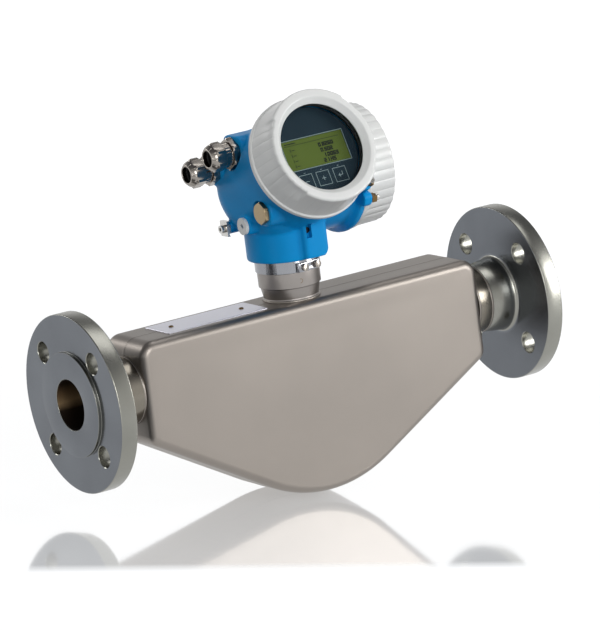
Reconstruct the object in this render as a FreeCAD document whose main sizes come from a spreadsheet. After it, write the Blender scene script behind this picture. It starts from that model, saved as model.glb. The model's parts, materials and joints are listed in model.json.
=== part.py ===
import FreeCAD, Part

import math
import os
import re

import Sketcher

# A Coriolis mass flow meter for a DN 40 pipeline: two bent measuring tubes in a welded
# stainless sensor body between flanges, and a transmitter head that turns on the neck.
# The origin is the centre of the inlet's raised face, +X runs with the flow and +Z is up.

SIZES = [
    ("nozzle_length", 13.5, "visible length of a manifold between its flange and the body"),
    ("flange_od", 150, "outside diameter of a flange"),
    ("flange_thick", 18, "thickness of a flange with its raised face"),
    ("raised_od", 88, "diameter of the raised face"),
    ("raised_height", 3, "height of the raised face"),
    ("pipe_bore", 43.1, "bore of flanges and manifolds"),
    ("bolt_circle", 110, "pitch circle of the bolt holes"),
    ("bolt_hole", 18, "diameter of a bolt hole"),
    ("bolt_count", 4, "bolt holes in a flange"),
    ("flange_chamfer", 1.2, "chamfer on a flange's rim"),
    ("hub_od", 62, "diameter of the flange's hub"),
    ("hub_tip", 59, "diameter of the hub at its weld"),
    ("hub_length", 24, "from the flange's back to the weld"),
    ("hub_taper", 5, "length of the hub's tapered end"),
    ("hub_root", 4, "fillet between hub and flange"),
    ("shell_length", 334, "length of the sensor body"),
    ("shell_depth", 31, "depth of one drawn half shell"),
    ("shell_top", 42, "top of the body above the pipe axis"),
    ("shell_bottom", 121, "lowest point of the body under the pipe axis"),
    ("shell_wall", 2, "sheet thickness of the shells"),
    ("belly_radius", 118, "radius of the rounded belly"),
    ("belly_slope", 30, "slope of the body's lower sides in degrees"),
    ("shoulder_radius", 13, "corner radius at the top of the body"),
    ("flank_radius", 11, "corner radius at the foot of the body's ends"),
    ("press_radius", 7, "radius round the drawn face"),
    ("nozzle_od", 57, "manifold outside the body"),
    ("collar_od", 52, "manifold inside the body"),
    ("chamber_depth", 9, "open end of the manifold inside the body"),
    ("splitter_thick", 8, "wall that the tubes are welded into"),
    ("weld_gap", 0.05, "clearance of parts that are welded or pressed together"),
    ("tube_od", 20, "outside diameter of a measuring tube"),
    ("tube_wall", 1.25, "wall of a measuring tube"),
    ("tube_spacing", 25, "between the axes of the two tubes"),
    ("tube_depth", 100, "lowest point of a tube's axis"),
    ("tube_bend", 30, "radius of a tube's upper bends"),
    ("tube_belly", 90, "radius of a tube's lower bend"),
    ("tube_lead", 8, "straight run of a tube from the splitter to its upper bend"),
    ("brace_thick", 2, "thickness of a brace plate"),
    ("brace_height", 28, "height of a brace plate"),
    ("brace_width", 52, "width of a brace plate"),
    ("brace_place", 0.3, "place of a brace along the sloped run, as a share of it"),
    ("coil_radius", 8, "radius of a coil's cup"),
    ("magnet_radius", 5.5, "radius of a magnet"),
    ("coil_lift", 13, "from a tube's surface to a coil's axis"),
    ("coil_gap", 2.5, "air between a coil and its magnet"),
    ("coil_reach", 12, "length of a coil's cup or a magnet"),
    ("foot_share", 1.2, "width of a foot as a share of its coil's radius"),
    ("braze_gap", 0.2, "braze gap between a tube and a saddle"),
    ("pickoff_angle", 36, "place of the pick-offs on the lower bend in degrees"),
    ("probe_angle", 20, "place of the temperature probe on the lower bend in degrees"),
    ("probe_radius", 3, "radius of the temperature probe"),
    ("plate_length", 97, "length of the nameplate"),
    ("plate_width", 39, "width of the nameplate"),
    ("plate_thick", 0.8, "thickness of the nameplate"),
    ("plate_offset", 36, "from the neck's axis to the nameplate"),
    ("rivet_inset", 14, "from the nameplate's end to a rivet"),
    ("rivet_radius", 1.2, "shank of a rivet"),
    ("rivet_head", 2.2, "head radius of a rivet"),
    ("neck_foot", 46.6, "diameter of the neck on the body"),
    ("neck_flare", 50, "diameter of the neck's cone at its top"),
    ("neck_band", 52.4, "diameter of the neck's band"),
    ("neck_band_low", 54, "lower edge of the neck's band"),
    ("neck_step", 0.6, "height of the slope under the neck's band"),
    ("ring_low", 67.2, "lower edge of the bayonet ring"),
    ("ring_od", 55, "diameter of the bayonet ring"),
    ("neck_spigot", 44, "diameter of the spigot that the head turns on"),
    ("neck_top", 98, "top of the spigot"),
    ("neck_bore", 24, "wire bore of the neck"),
    ("turn_gap", 0.3, "clearance between parts that turn on each other"),
    ("feed_low", 56, "underside of the sealed feedthrough"),
    ("feed_thick", 6, "thickness of the feedthrough"),
    ("pin_radius", 0.7, "radius of a feedthrough pin"),
    ("pin_circle", 15, "pitch circle of the pins"),
    ("pin_count", 9, "pins in the feedthrough"),
    ("seal_section", 2.2, "cord diameter of the seal rings"),
    ("seal_place", 90, "height of the neck's seal"),
    ("groove_width", 2.4, "width of a seal ring's groove"),
    ("groove_start", 0.8, "from a cover's seat to the groove of its seal"),
    ("lug_angle", 7.5, "turn of the ring's screw lug from the front in degrees"),
    ("lug_width", 24, "width of the ring's screw lug"),
    ("lug_front", 29.6, "from the neck's axis to the lug's face"),
    ("lug_low", 67.6, "underside of the ring's screw lug"),
    ("lug_high", 74.9, "top of the ring's screw lug"),
    ("ring_lug_round", 3, "edge radius of the ring's screw lug"),
    ("screw_pitch", 13.5, "between the two securing screws"),
    ("screw_depth", 5, "how deep a securing screw goes"),
    ("screw_radius", 1.9, "shank radius of small screws"),
    ("screw_head", 3.1, "head radius of small screws"),
    ("screw_rise", 2.4, "height of a small screw's head"),
    ("head_height", 140, "crossing of the two barrels above the pipe axis"),
    ("head_tilt", 26, "backward tilt of the display in degrees"),
    ("collar_low", 77.5, "underside of the head's collar"),
    ("collar_radius", 33, "radius of the head's collar"),
    ("collar_chamfer", 0.8, "chamfer under the collar"),
    ("pad_left", -4, "left side of the lock pad"),
    ("pad_right", 20, "right side of the lock pad"),
    ("pad_front", 38, "from the neck's axis to the pad's face"),
    ("pad_high", 112, "top of the lock pad"),
    ("slot_low", 96, "foot of the recess in the pad"),
    ("slot_high", 109, "top of the recess in the pad"),
    ("slot_width", 5, "width of the recess in the pad"),
    ("slot_depth", 5, "depth of the recess in the pad"),
    ("slot_middle", 1.2, "middle of the recess, across"),
    ("lock_height", 2.5, "height of the lock screw's head"),
    ("pad_round", 4, "edge radius of the lock pad"),
    ("pad_corner", 5, "chamfer on the lower right corner of the lock pad"),
    ("front_barrel", 93, "diameter of the display barrel"),
    ("back_end", 38, "back of the display barrel behind the crossing"),
    ("back_round", 24, "radius of the rounded back"),
    ("front_shoulder", 54, "seat of the front cover in front of the crossing"),
    ("shoulder_thick", 3, "thickness of the seat's flange"),
    ("shoulder_over", 3.5, "how far the front flange stands over the barrel"),
    ("thread_od", 91, "diameter of the threaded spigots"),
    ("front_spigot", 12, "length of the front spigot"),
    ("end_spigot", 10, "length of the end spigot"),
    ("end_barrel", 96, "diameter of the terminal barrel"),
    ("bowl_end", 39, "flat left end of the terminal barrel"),
    ("bowl_round", 30, "radius of the bowl's rounding"),
    ("end_shoulder", 54, "seat of the terminal cover"),
    ("end_flange", 107, "diameter of the terminal barrel's flange"),
    ("end_flange_thick", 5, "thickness of the terminal barrel's flange"),
    ("end_flange_slope", 3, "length of the cone behind the terminal barrel's flange"),
    ("boss_root", 12, "from the crossing to the root of the bosses"),
    ("cut_over", 1, "how far a hollow is cut past the face that it opens"),
    ("inner_radius", 35, "radius of the electronics chamber"),
    ("inner_back", 30, "back of the electronics chamber"),
    ("mouth_radius", 41, "radius of the chamber's mouth"),
    ("mouth_step", 34, "seat of the mounting plate in the mouth"),
    ("wiring_radius", 41.5, "radius of the terminal chamber"),
    ("wiring_floor", 46, "floor of the terminal chamber"),
    ("passage_radius", 7, "radius of the passage between the chambers"),
    ("passage_start", 29, "start of the passage from the crossing"),
    ("neck_room", 4, "free height above the neck's spigot"),
    ("entry_radius", 10, "bore of a cable entry"),
    ("entry_depth", 22, "depth of a cable entry"),
    ("entry_seat", 14.4, "radius of the spot face under the first gland"),
    ("entry_a_y", 0, "first cable entry, across"),
    ("entry_a_z", 32.5, "first cable entry, above the crossing"),
    ("entry_a_pad", 29, "side of the first entry's square boss"),
    ("entry_a_round", 8, "corner radius of the square boss"),
    ("entry_b_y", 28, "second cable entry, across"),
    ("entry_b_z", 17.5, "second cable entry, above the crossing"),
    ("entry_b_end", 44, "end of the second entry's boss"),
    ("entry_b_boss", 14.5, "radius of the second entry's boss"),
    ("plug_y", -35.9, "hexagon plug, across"),
    ("plug_z", -14.5, "hexagon plug, above the crossing"),
    ("plug_end", 39, "end of the hexagon plug's boss"),
    ("plug_boss", 12, "radius of the hexagon plug's boss"),
    ("plug_seat", 10.8, "radius of the spot face under the plug"),
    ("seat_over", 8, "height of the spot faces"),
    ("plug_flats", 17, "width across the plug's flats"),
    ("plug_head", 4, "height of the plug's head"),
    ("plug_thread", 7, "radius of the plug's thread"),
    ("plug_screw", 10, "length of the plug's thread"),
    ("cap_y", -8.7, "round service plug, across"),
    ("cap_z", -27.7, "round service plug, above the crossing"),
    ("cap_end", 42.3, "end of the service plug's boss"),
    ("cap_boss", 8.2, "radius of the service plug's boss"),
    ("cap_radius", 7.2, "radius of the service plug"),
    ("cap_head", 2.4, "height of the service plug's head"),
    ("cap_thread", 5, "radius of the service plug's thread"),
    ("cap_screw", 8, "length of the service plug's thread"),
    ("cap_socket", 4, "width across the service plug's socket"),
    ("cap_socket_depth", 3, "depth of the service plug's socket"),
    ("earth_y", 20, "earth terminal, across"),
    ("earth_z", -32.5, "earth terminal, above the crossing"),
    ("earth_end", 41.5, "end of the earth terminal's boss"),
    ("earth_boss", 5.3, "radius of the earth terminal's boss"),
    ("earth_screw_depth", 8, "how deep the earth screw goes"),
    ("thread_room", 1, "free depth behind a screwed part"),
    ("cover_gap", 0.3, "gap between a closed cover and its seat"),
    ("rim_wall", 6.9, "wall of a front cover's rim lip over the thread"),
    ("rim_height", 4, "height of the rim lip"),
    ("rim_slope", 1, "height of the slope above the rim lip"),
    ("skirt_wall", 5.5, "wall of the front cover's skirt at the rim, over the thread"),
    ("front_wall", 3.7, "wall of the front cover's skirt at its front, over the thread"),
    ("cover_front", 90, "front of the front cover before the crossing"),
    ("cover_edge", 2, "rounding of a cover's front edge"),
    ("bevel_outer", 42, "outer radius of the window's bevel"),
    ("window_radius", 37.5, "radius of the window"),
    ("glass_level", 83.8, "front of the glass before the crossing"),
    ("glass_lip", 1, "thickness of the lip at the window"),
    ("glass_radius", 40.5, "radius of the glass"),
    ("glass_thick", 5, "thickness of the glass"),
    ("clip_thick", 2, "thickness of the glass's retaining ring"),
    ("clip_radius", 38, "inner radius of the retaining ring"),
    ("cover_bore", 14, "depth of a cover's threaded bore"),
    ("flute_count", 36, "flutes round a cover"),
    ("flute_radius", 2.4, "radius of a flute"),
    ("flute_depth", 0.7, "depth of a flute at the cover's front"),
    ("grip_left", 184.5, "middle of the left sector cut back in the front ring in degrees"),
    ("grip_right", 4.5, "middle of the right sector cut back in the front ring in degrees"),
    ("grip_sweep", 87, "width of a cut-back sector in degrees"),
    ("grip_depth", 1.6, "how far a sector is cut back at the front"),
    ("grip_height", 12, "height of a cut-back sector"),
    ("cap_rim_wall", 7, "wall of the terminal cover's rim lip over the thread"),
    ("cap_skirt_wall", 6, "wall of the terminal cover's skirt at the rim, over the thread"),
    ("cap_face_wall", 5.3, "wall of the terminal cover's skirt at its end, over the thread"),
    ("cap_front", 85, "end of the terminal cover from the crossing"),
    ("cap_wall", 4, "end wall of the terminal cover"),
    ("cap_recess", 1.6, "depth of the recess in the terminal cover"),
    ("cap_recess_radius", 40, "radius of the recess in the terminal cover"),
    ("cap_cavity", 42, "radius of the terminal cover's hollow"),
    ("carrier_radius", 39.4, "radius of the display's carrier"),
    ("carrier_back", 60, "back of the display's carrier"),
    ("carrier_edge", 3, "bevel at the back of the display's carrier"),
    ("panel_radius", 39, "radius of the display panel"),
    ("panel_level", 73, "front of the display panel"),
    ("panel_thick", 2.4, "thickness of the display panel"),
    ("screen_left", -29, "left edge of the screen"),
    ("screen_right", 30, "right edge of the screen"),
    ("screen_low", -12, "lower edge of the screen"),
    ("screen_high", 13.3, "upper edge of the screen"),
    ("screen_sink", 0.3, "how far the screen lies under the panel"),
    ("fit_gap", 0.15, "clearance of parts that drop into each other"),
    ("post_circle", 50, "pitch circle of the posts"),
    ("post_count", 4, "posts that carry the boards and the display"),
    ("post_radius", 2.4, "radius of a post"),
    ("post_low", -28, "lower end of the posts"),
    ("post_hole", 2.45, "hole for a post"),
    ("plate_seat", 2.5, "thickness of the mounting plate"),
    ("board_thick", 1.6, "thickness of a circuit board"),
    ("board_small", 33.5, "radius of a board in the chamber"),
    ("board_large", 38, "radius of a board in the mouth"),
    ("chip_count", 3, "large parts on a board"),
    ("chip_near", 7, "from a board's middle to a part on it"),
    ("chip_length", 12, "length and width of a part on a board"),
    ("chip_height", 3.5, "height of the parts on a board"),
    ("power_level", -22, "level of the power board"),
    ("amplifier_level", -4, "level of the amplifier board"),
    ("io_level", 42, "level of the output board"),
    ("block_length", 50, "length of the terminal block"),
    ("block_width", 22, "width of the terminal block"),
    ("block_height", 18, "height of the terminal block"),
    ("terminal_count", 8, "terminals in the block"),
    ("terminal_pitch", 5.6, "between two terminals"),
    ("terminal_radius", 1.8, "radius of a terminal's screw"),
    ("terminal_row", 5, "from the block's middle to the row of screws"),
    ("terminal_depth", 4, "how deep a terminal's screw goes"),
    ("terminal_rise", 0.5, "how far a terminal's screw stands out"),
    ("gland_flats", 24, "width across the gland body's flats"),
    ("gland_hex", 6, "height of the gland body's hexagon"),
    ("gland_thread", 10, "length of the gland's entry thread"),
    ("gland_neck", 9, "radius of the gland's upper thread"),
    ("gland_bore", 6.5, "cable bore of a gland"),
    ("gland_grip", 3.6, "how far the gland body reaches into its nut's hexagon"),
    ("insert_bore", 6.5, "cable bore of the rubber insert"),
    ("nut_gap", 0.5, "gap between the gland body and its nut"),
    ("nut_barrel", 10.6, "radius of the nut's round skirt"),
    ("nut_skirt", 6, "length of the nut's round skirt"),
    ("nut_flats", 22, "width across the nut's flats"),
    ("nut_hex", 9, "length of the nut's hexagon"),
    ("nut_dome", 4, "length of the nut's domed end"),
    ("dome_shoulder", 0.8, "how far the dome draws in at half its length"),
    ("dome_tip", 2.6, "how far the dome draws in at its end"),
    ("mouth_cone", 2.4, "length of the cone inside the dome"),
    ("nut_mouth", 6.8, "radius of the nut's mouth"),
    ("lug_reach", 62, "from a barrel's axis to the end of a clamp lug"),
    ("lug_root", 42, "from a barrel's axis to the root of a clamp lug"),
    ("lug_half", 6, "half the width of a clamp lug"),
    ("lug_deep", 8, "depth of a clamp lug"),
    ("lug_round", 4.5, "corner radius of a clamp lug"),
    ("front_lug_angle", -33, "place of the front cover's clamp in degrees"),
    ("end_lug_angle", -70, "place of the terminal cover's clamp in degrees"),
    ("claw_place", 57.5, "from a barrel's axis to a clamp's screw"),
    ("claw_inner", 3.4, "length of a claw towards the cover"),
    ("claw_outer", 4, "length of a claw away from the cover"),
    ("claw_half", 2.6, "half the width of a claw"),
    ("claw_thick", 5, "thickness of a claw"),
    ("clamp_depth", 6, "how deep a clamp's screw goes"),
    ("clamp_head", 2.4, "height of a clamp screw's head"),
    ("small_socket", 3, "width across a small screw's socket"),
    ("small_socket_depth", 1.6, "depth of a small screw's socket"),
    ("saddle_half", 6.5, "half the height of the earth clamp"),
    ("saddle_thick", 3.4, "thickness of the earth clamp"),
    ("wire_radius", 1.6, "radius of the wire grooves under the earth clamp"),
    ("earth_head", 3.4, "head radius of the earth screw"),
    ("earth_rise", 3.6, "height of the earth screw's head"),
]

doc = FreeCAD.newDocument("FlowMeter")
sheet = doc.addObject("Spreadsheet::Sheet", "Sizes")
for row, (alias, number, note) in enumerate(SIZES, start=1):
    sheet.set("A%d" % row, alias)
    sheet.set("B%d" % row, str(number))
    sheet.set("C%d" % row, note)
    sheet.setAlias("B%d" % row, alias)
doc.recompute()
size = {alias: float(number) for alias, number, note in SIZES}

X_AXIS = FreeCAD.Vector(1, 0, 0)
Y_AXIS = FreeCAD.Vector(0, 1, 0)
Z_AXIS = FreeCAD.Vector(0, 0, 1)
MIDDLE = "(flange_thick + hub_length + nozzle_length + shell_length / 2)"
BEND = "(shell_length / 2 - chamber_depth - tube_lead)"
GROOVE = "(seal_section + weld_gap - turn_gap)"
nodes = []


def bound(text):
    """The expression with every size read from the sheet."""
    return re.sub(r"[a-z]\w+", lambda word: "Sizes." + word[0] if word[0] in size else word[0], str(text))


def number(text):
    """The expression's value now."""
    result = sheet.evalExpression(bound(text).replace("Sizes.", ""))
    return float(getattr(result, "Value", result))


def bind(item, **properties):
    for name, text in properties.items():
        setattr(item, name, number(text))
        item.setExpression(name, bound(text))


def place(item, x="0", y="0", z="0", axis=X_AXIS, angle="0"):
    """Placement with its base and angle bound to the sheet."""
    turn = FreeCAD.Rotation(axis, number(angle))
    item.Placement = FreeCAD.Placement(FreeCAD.Vector(number(x), number(y), number(z)), turn)
    for letter, text in zip("xyz", (x, y, z)):
        if text != "0":
            item.setExpression(".Placement.Base." + letter, bound(text))
    if angle != "0":
        item.setExpression(".Placement.Rotation.Angle", bound(angle))
    return item


def in_pipe(item, outlet=False):
    """Local Z along the pipe, from the raised face inwards."""
    if outlet:
        return place(item, x="2 * " + MIDDLE, axis=Y_AXIS, angle="-90")
    return place(item, axis=Y_AXIS, angle="90")


def in_neck(item):
    return place(item, x=MIDDLE)


def in_display(item):
    """Local Z out of the display, local X to the right and local Y up the display."""
    return place(item, x=MIDDLE, z="head_height", axis=X_AXIS, angle="90 - head_tilt")


def in_wiring(item):
    """Local Z out of the terminal compartment, which opens along +X."""
    return place(item, x=MIDDLE, z="head_height", axis=Y_AXIS, angle="90")


def at_entry(item, end, y, z):
    """Local Z out of the head's left end, from the face of a boss."""
    return place(item, x=MIDDLE + " - " + end, y=y, z="head_height + " + z, axis=Y_AXIS, angle="-90")


def new_body(label, sub_part=True):
    body = doc.addObject("PartDesign::Body", label)
    body.Label = label
    if sub_part:
        nodes.append(body)
    return body


def attach(body, name, plane, level="0"):
    """An empty sketch on one of the body's own origin planes, lifted by a level."""
    sketch = body.newObject("Sketcher::SketchObject", name)
    origin = [item for item in body.Origin.OriginFeatures if item.Role == plane][0]
    sketch.AttachmentSupport = (origin, [""])
    sketch.MapMode = "FlatFace"
    sketch.AttachmentOffset = FreeCAD.Placement(FreeCAD.Vector(0, 0, number(level)), FreeCAD.Rotation())
    if level != "0":
        sketch.setExpression("AttachmentOffset.Base.z", bound(level))
    return sketch


def fix_point(sketch, curve, end, x, y):
    """Ties one end of a curve, or its centre, to a place given by two expressions."""
    for kind, text, axis in (("DistanceX", x, -2), ("DistanceY", y, -1)):
        if text == "0":
            sketch.addConstraint(Sketcher.Constraint("PointOnObject", curve, end, axis))
            continue
        index = sketch.addConstraint(Sketcher.Constraint(kind, -1, 1, curve, end, number(text)))
        sketch.setExpression("Constraints[%d]" % index, bound(text))


def draw_outline(sketch, corners):
    """A closed outline of straight lines through corners given as pairs of expressions."""
    places = [FreeCAD.Vector(number(x), number(y), 0) for x, y in corners]
    first = sketch.GeometryCount
    total = len(corners)
    for index in range(total):
        sketch.addGeometry(Part.LineSegment(places[index], places[(index + 1) % total]), False)
    for index in range(total):
        after = first + (index + 1) % total
        sketch.addConstraint(Sketcher.Constraint("Coincident", first + index, 2, after, 1))
    for index, (x, y) in enumerate(corners):
        fix_point(sketch, first + index, 1, x, y)


def draw_circle(sketch, x, y, radius):
    centre = FreeCAD.Vector(number(x), number(y), 0)
    curve = sketch.addGeometry(Part.Circle(centre, Z_AXIS, number(radius)), False)
    index = sketch.addConstraint(Sketcher.Constraint("Radius", curve, number(radius)))
    sketch.setExpression("Constraints[%d]" % index, bound(radius))
    fix_point(sketch, curve, 3, x, y)


def draw_hexagon(sketch, flats):
    """A hexagon round the origin, by its width across the flats, with two flats level."""
    corners = []
    for step in range(6):
        angle = 60 * step
        reach = "%s / cos(30 deg)" % flats
        across = "%s / 2 * cos(%d deg)" % (reach, angle)
        up = "0" if angle % 180 == 0 else "%s / 2 * sin(%d deg)" % (reach, angle)
        corners.append((across, up))
    draw_outline(sketch, corners)


def round_pad(body, name, radius, level, height, x="0", y="0", plane="XY_Plane", back=False):
    sketch = attach(body, name + "_sketch", plane, level)
    draw_circle(sketch, x, y, radius)
    return pad(body, name, sketch, height, back)


def pad(body, name, sketch, height, back=False):
    feature = body.newObject("PartDesign::Pad", name)
    feature.Profile = sketch
    bind(feature, Length=height)
    feature.Reversed = back
    sketch.Visibility = False
    doc.recompute()
    return feature


def cut(body, name, sketch, depth=None, forward=False):
    """A pocket, into the sketch's back or, with forward, its front. It must remove something."""
    before = body.Shape.Volume
    feature = body.newObject("PartDesign::Pocket", name)
    feature.Profile = sketch
    if depth is None:
        feature.Type = "ThroughAll"
    else:
        bind(feature, Length=depth)
    feature.Reversed = forward
    doc.recompute()
    if body.Shape.Volume > before - 0.01:
        raise ValueError(name + " removes nothing")
    return feature


def round_cut(body, name, radius, level, depth=None, x="0", y="0", plane="XY_Plane", forward=False):
    sketch = attach(body, name + "_sketch", plane, level)
    draw_circle(sketch, x, y, radius)
    return cut(body, name, sketch, depth, forward)


def revolve(body, name, profile):
    """A turned form: the profile's corners are (radius, height) and it turns about its height."""
    sketch = attach(body, name + "_sketch", "XZ_Plane")
    draw_outline(sketch, profile)
    feature = body.newObject("PartDesign::Revolution", name)
    feature.Profile = sketch
    feature.ReferenceAxis = (sketch, ["V_Axis"])
    feature.Angle = 360.0
    doc.recompute()
    return feature


def bore(body, name, profile):
    """A turned hollow, drawn like a turned form."""
    before = body.Shape.Volume
    sketch = attach(body, name + "_sketch", "XZ_Plane")
    draw_outline(sketch, profile)
    feature = body.newObject("PartDesign::Groove", name)
    feature.Profile = sketch
    feature.ReferenceAxis = (sketch, ["V_Axis"])
    feature.Angle = 360.0
    doc.recompute()
    if body.Shape.Volume > before - 0.01:
        raise ValueError(name + " removes nothing")
    return feature


def repeat(body, name, feature, count):
    """Copies of a feature round its sketch's normal."""
    pattern = body.newObject("PartDesign::PolarPattern", name)
    pattern.Originals = [feature]
    pattern.Axis = (feature.Profile[0], ["N_Axis"])
    pattern.Angle = 360.0
    pattern.Occurrences = int(number(count))
    pattern.setExpression("Occurrences", bound(count))
    body.Tip = pattern
    doc.recompute()
    return pattern


def edges(body, test):
    """Names of the edges of the body so far that pass the test."""
    return ["Edge%d" % (index + 1) for index, edge in enumerate(body.Tip.Shape.Edges) if test(edge)]


def soften(body, name, radius, test, kind="Fillet"):
    """A fillet or chamfer on the edges that pass the test."""
    names = edges(body, test)
    if not names:
        raise ValueError(name + " finds no edge")
    base = body.Tip
    feature = body.newObject("PartDesign::" + kind, name)
    feature.Base = (base, names)
    bind(feature, **{"Radius" if kind == "Fillet" else "Size": radius})
    body.Tip = feature
    doc.recompute()
    return feature


def is_circle(edge, radius, level=None):
    """True for a circle about local Z with this radius, and at this height where one is given."""
    curve = edge.Curve
    if not isinstance(curve, Part.Circle) or abs(curve.Radius - radius) > 0.01:
        return False
    return level is None or abs(curve.Center.z - level) < 0.01


def is_upright(edge):
    """True for a straight edge along local Z."""
    if not isinstance(edge.Curve, Part.Line):
        return False
    return abs(abs(edge.Curve.Direction.z) - 1) < 1e-6


def turned(label, profile, holder=None):
    """A sub-part that is one turned form about its local Z."""
    body = new_body(label)
    revolve(body, label + "_turned", profile)
    if holder:
        holder(body)
    return body


def group(label, solids):
    """Like fasteners kept together as separate solids."""
    compound = doc.addObject("Part::Compound", label)
    compound.Label = label
    compound.Links = solids
    nodes.append(compound)
    return compound


def drum(name, radius, height):
    """A plain cylinder for a group."""
    item = doc.addObject("Part::Cylinder", name)
    bind(item, Radius=radius, Height=height)
    return item


def seal_ring(label, spigot_radius, level, holder):
    """A seal ring on the floor of its groove. Its cord is drawn with eight sides."""
    middle = spigot_radius + " + turn_gap - weld_gap - seal_section / 2"
    corner = "seal_section / 2 / cos(22.5 deg)"
    cord = []
    for step in range(8):
        angle = 22.5 + 45 * step
        across = "%s + %s * cos(%g deg)" % (middle, corner, angle)
        up = "%s + %s * sin(%g deg)" % (level, corner, angle)
        cord.append((across, up))
    turned(label, cord, holder)


# Sensor: flanges, manifolds and the drawn shells

def make_flange(label, outlet):
    body = new_body(label)
    weld = "flange_thick + hub_length"
    revolve(body, label + "_turned", [
        ("pipe_bore / 2", "0"),
        ("raised_od / 2", "0"),
        ("raised_od / 2", "raised_height"),
        ("flange_od / 2", "raised_height"),
        ("flange_od / 2", "flange_thick"),
        ("hub_od / 2", "flange_thick"),
        ("hub_od / 2", weld + " - hub_taper"),
        ("hub_tip / 2", weld),
        ("pipe_bore / 2", weld),
    ])
    rim = size["flange_od"] / 2
    soften(body, label + "_rim", "flange_chamfer", lambda edge: is_circle(edge, rim), "Chamfer")
    root = size["hub_od"] / 2
    back = size["flange_thick"]
    soften(body, label + "_root", "hub_root", lambda edge: is_circle(edge, root, back))
    across = "bolt_circle / 2 * cos(180 deg / bolt_count)"
    up = "bolt_circle / 2 * sin(180 deg / bolt_count)"
    hole = round_cut(body, label + "_hole", "bolt_hole / 2", "0", x=across, y=up, forward=True)
    repeat(body, label + "_holes", hole, "bolt_count")
    in_pipe(body, outlet)


def make_manifold(label, outlet):
    """Nozzle outside the body and splitter inside it, where one flow becomes two."""
    body = new_body(label)
    weld = "flange_thick + hub_length"
    shell_end = weld + " + nozzle_length"
    split = shell_end + " + chamber_depth"
    revolve(body, label + "_turned", [
        ("pipe_bore / 2", weld),
        ("nozzle_od / 2", weld),
        ("nozzle_od / 2", shell_end),
        ("collar_od / 2", shell_end),
        ("collar_od / 2", split + " + splitter_thick"),
        ("0", split + " + splitter_thick"),
        ("0", split),
        ("pipe_bore / 2", split),
    ])
    for side in ("", "-"):
        name = label + ("_hole_rear" if side else "_hole_front")
        round_cut(body, name, "tube_od / 2 + weld_gap", split + " + splitter_thick",
                  "splitter_thick", y=side + "tube_spacing / 2")
    in_pipe(body, outlet)


def make_shell(label, rear):
    """One deep drawn half of the sensor body, open at the weld plane."""
    body = new_body(label)
    half = "shell_length / 2"
    apex = "-(shell_bottom + belly_radius * (1 / cos(belly_slope * 1 deg) - 1))"
    flank = "%s + shell_length / 2 * tan(belly_slope * 1 deg)" % apex
    sketch = attach(body, label + "_outline", "XZ_Plane")
    draw_outline(sketch, [
        ("-" + half, "shell_top"),
        ("-" + half, flank),
        ("0", apex),
        (half, flank),
        (half, "shell_top"),
    ])
    pad(body, label + "_drawn", sketch, "shell_depth", rear)

    def corner(z):
        def test(edge):
            straight = isinstance(edge.Curve, Part.Line) and abs(abs(edge.Curve.Direction.y) - 1) < 1e-6
            return straight and abs(edge.Vertexes[0].Z - number(z)) < 0.01
        return test

    soften(body, label + "_belly", "belly_radius", corner(apex))
    soften(body, label + "_flanks", "flank_radius", corner(flank))
    soften(body, label + "_shoulders", "shoulder_radius", corner("shell_top"))
    face_y = size["shell_depth"] * (1 if rear else -1)
    on_face = lambda edge: all(abs(point.Y - face_y) < 0.01 for point in edge.Vertexes)
    soften(body, label + "_face", "press_radius", on_face)
    flat = [index for index, face in enumerate(body.Shape.Faces)
            if abs(face.BoundBox.YMin) < 0.01 and abs(face.BoundBox.YMax) < 0.01]
    drawn = body.Tip
    hollow = body.newObject("PartDesign::Thickness", label + "_wall")
    hollow.Base = (drawn, ["Face%d" % (flat[0] + 1)])
    bind(hollow, Value="shell_wall")
    hollow.Join = 0
    hollow.Reversed = True
    body.Tip = hollow
    doc.recompute()
    neck = attach(body, label + "_neck_hole_sketch", "XY_Plane", "shell_top")
    draw_circle(neck, "0", "0", "neck_bore / 2")
    cut(body, label + "_neck_hole", neck, "2 * shell_wall")
    ends = attach(body, label + "_end_holes_sketch", "YZ_Plane", half)
    draw_circle(ends, "0", "0", "collar_od / 2 + weld_gap")
    cut(body, label + "_end_holes", ends)
    in_neck(body)


# Measuring tubes and what is mounted on them

def tube_slope():
    """Slope of the run that touches both the upper and the lower bend, in radians."""
    across = number(BEND)
    rise = size["tube_bend"] - (size["tube_depth"] - size["tube_belly"])
    reach = math.hypot(across, rise)
    return math.atan2(across, rise) - math.acos((size["tube_bend"] + size["tube_belly"]) / reach)


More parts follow.
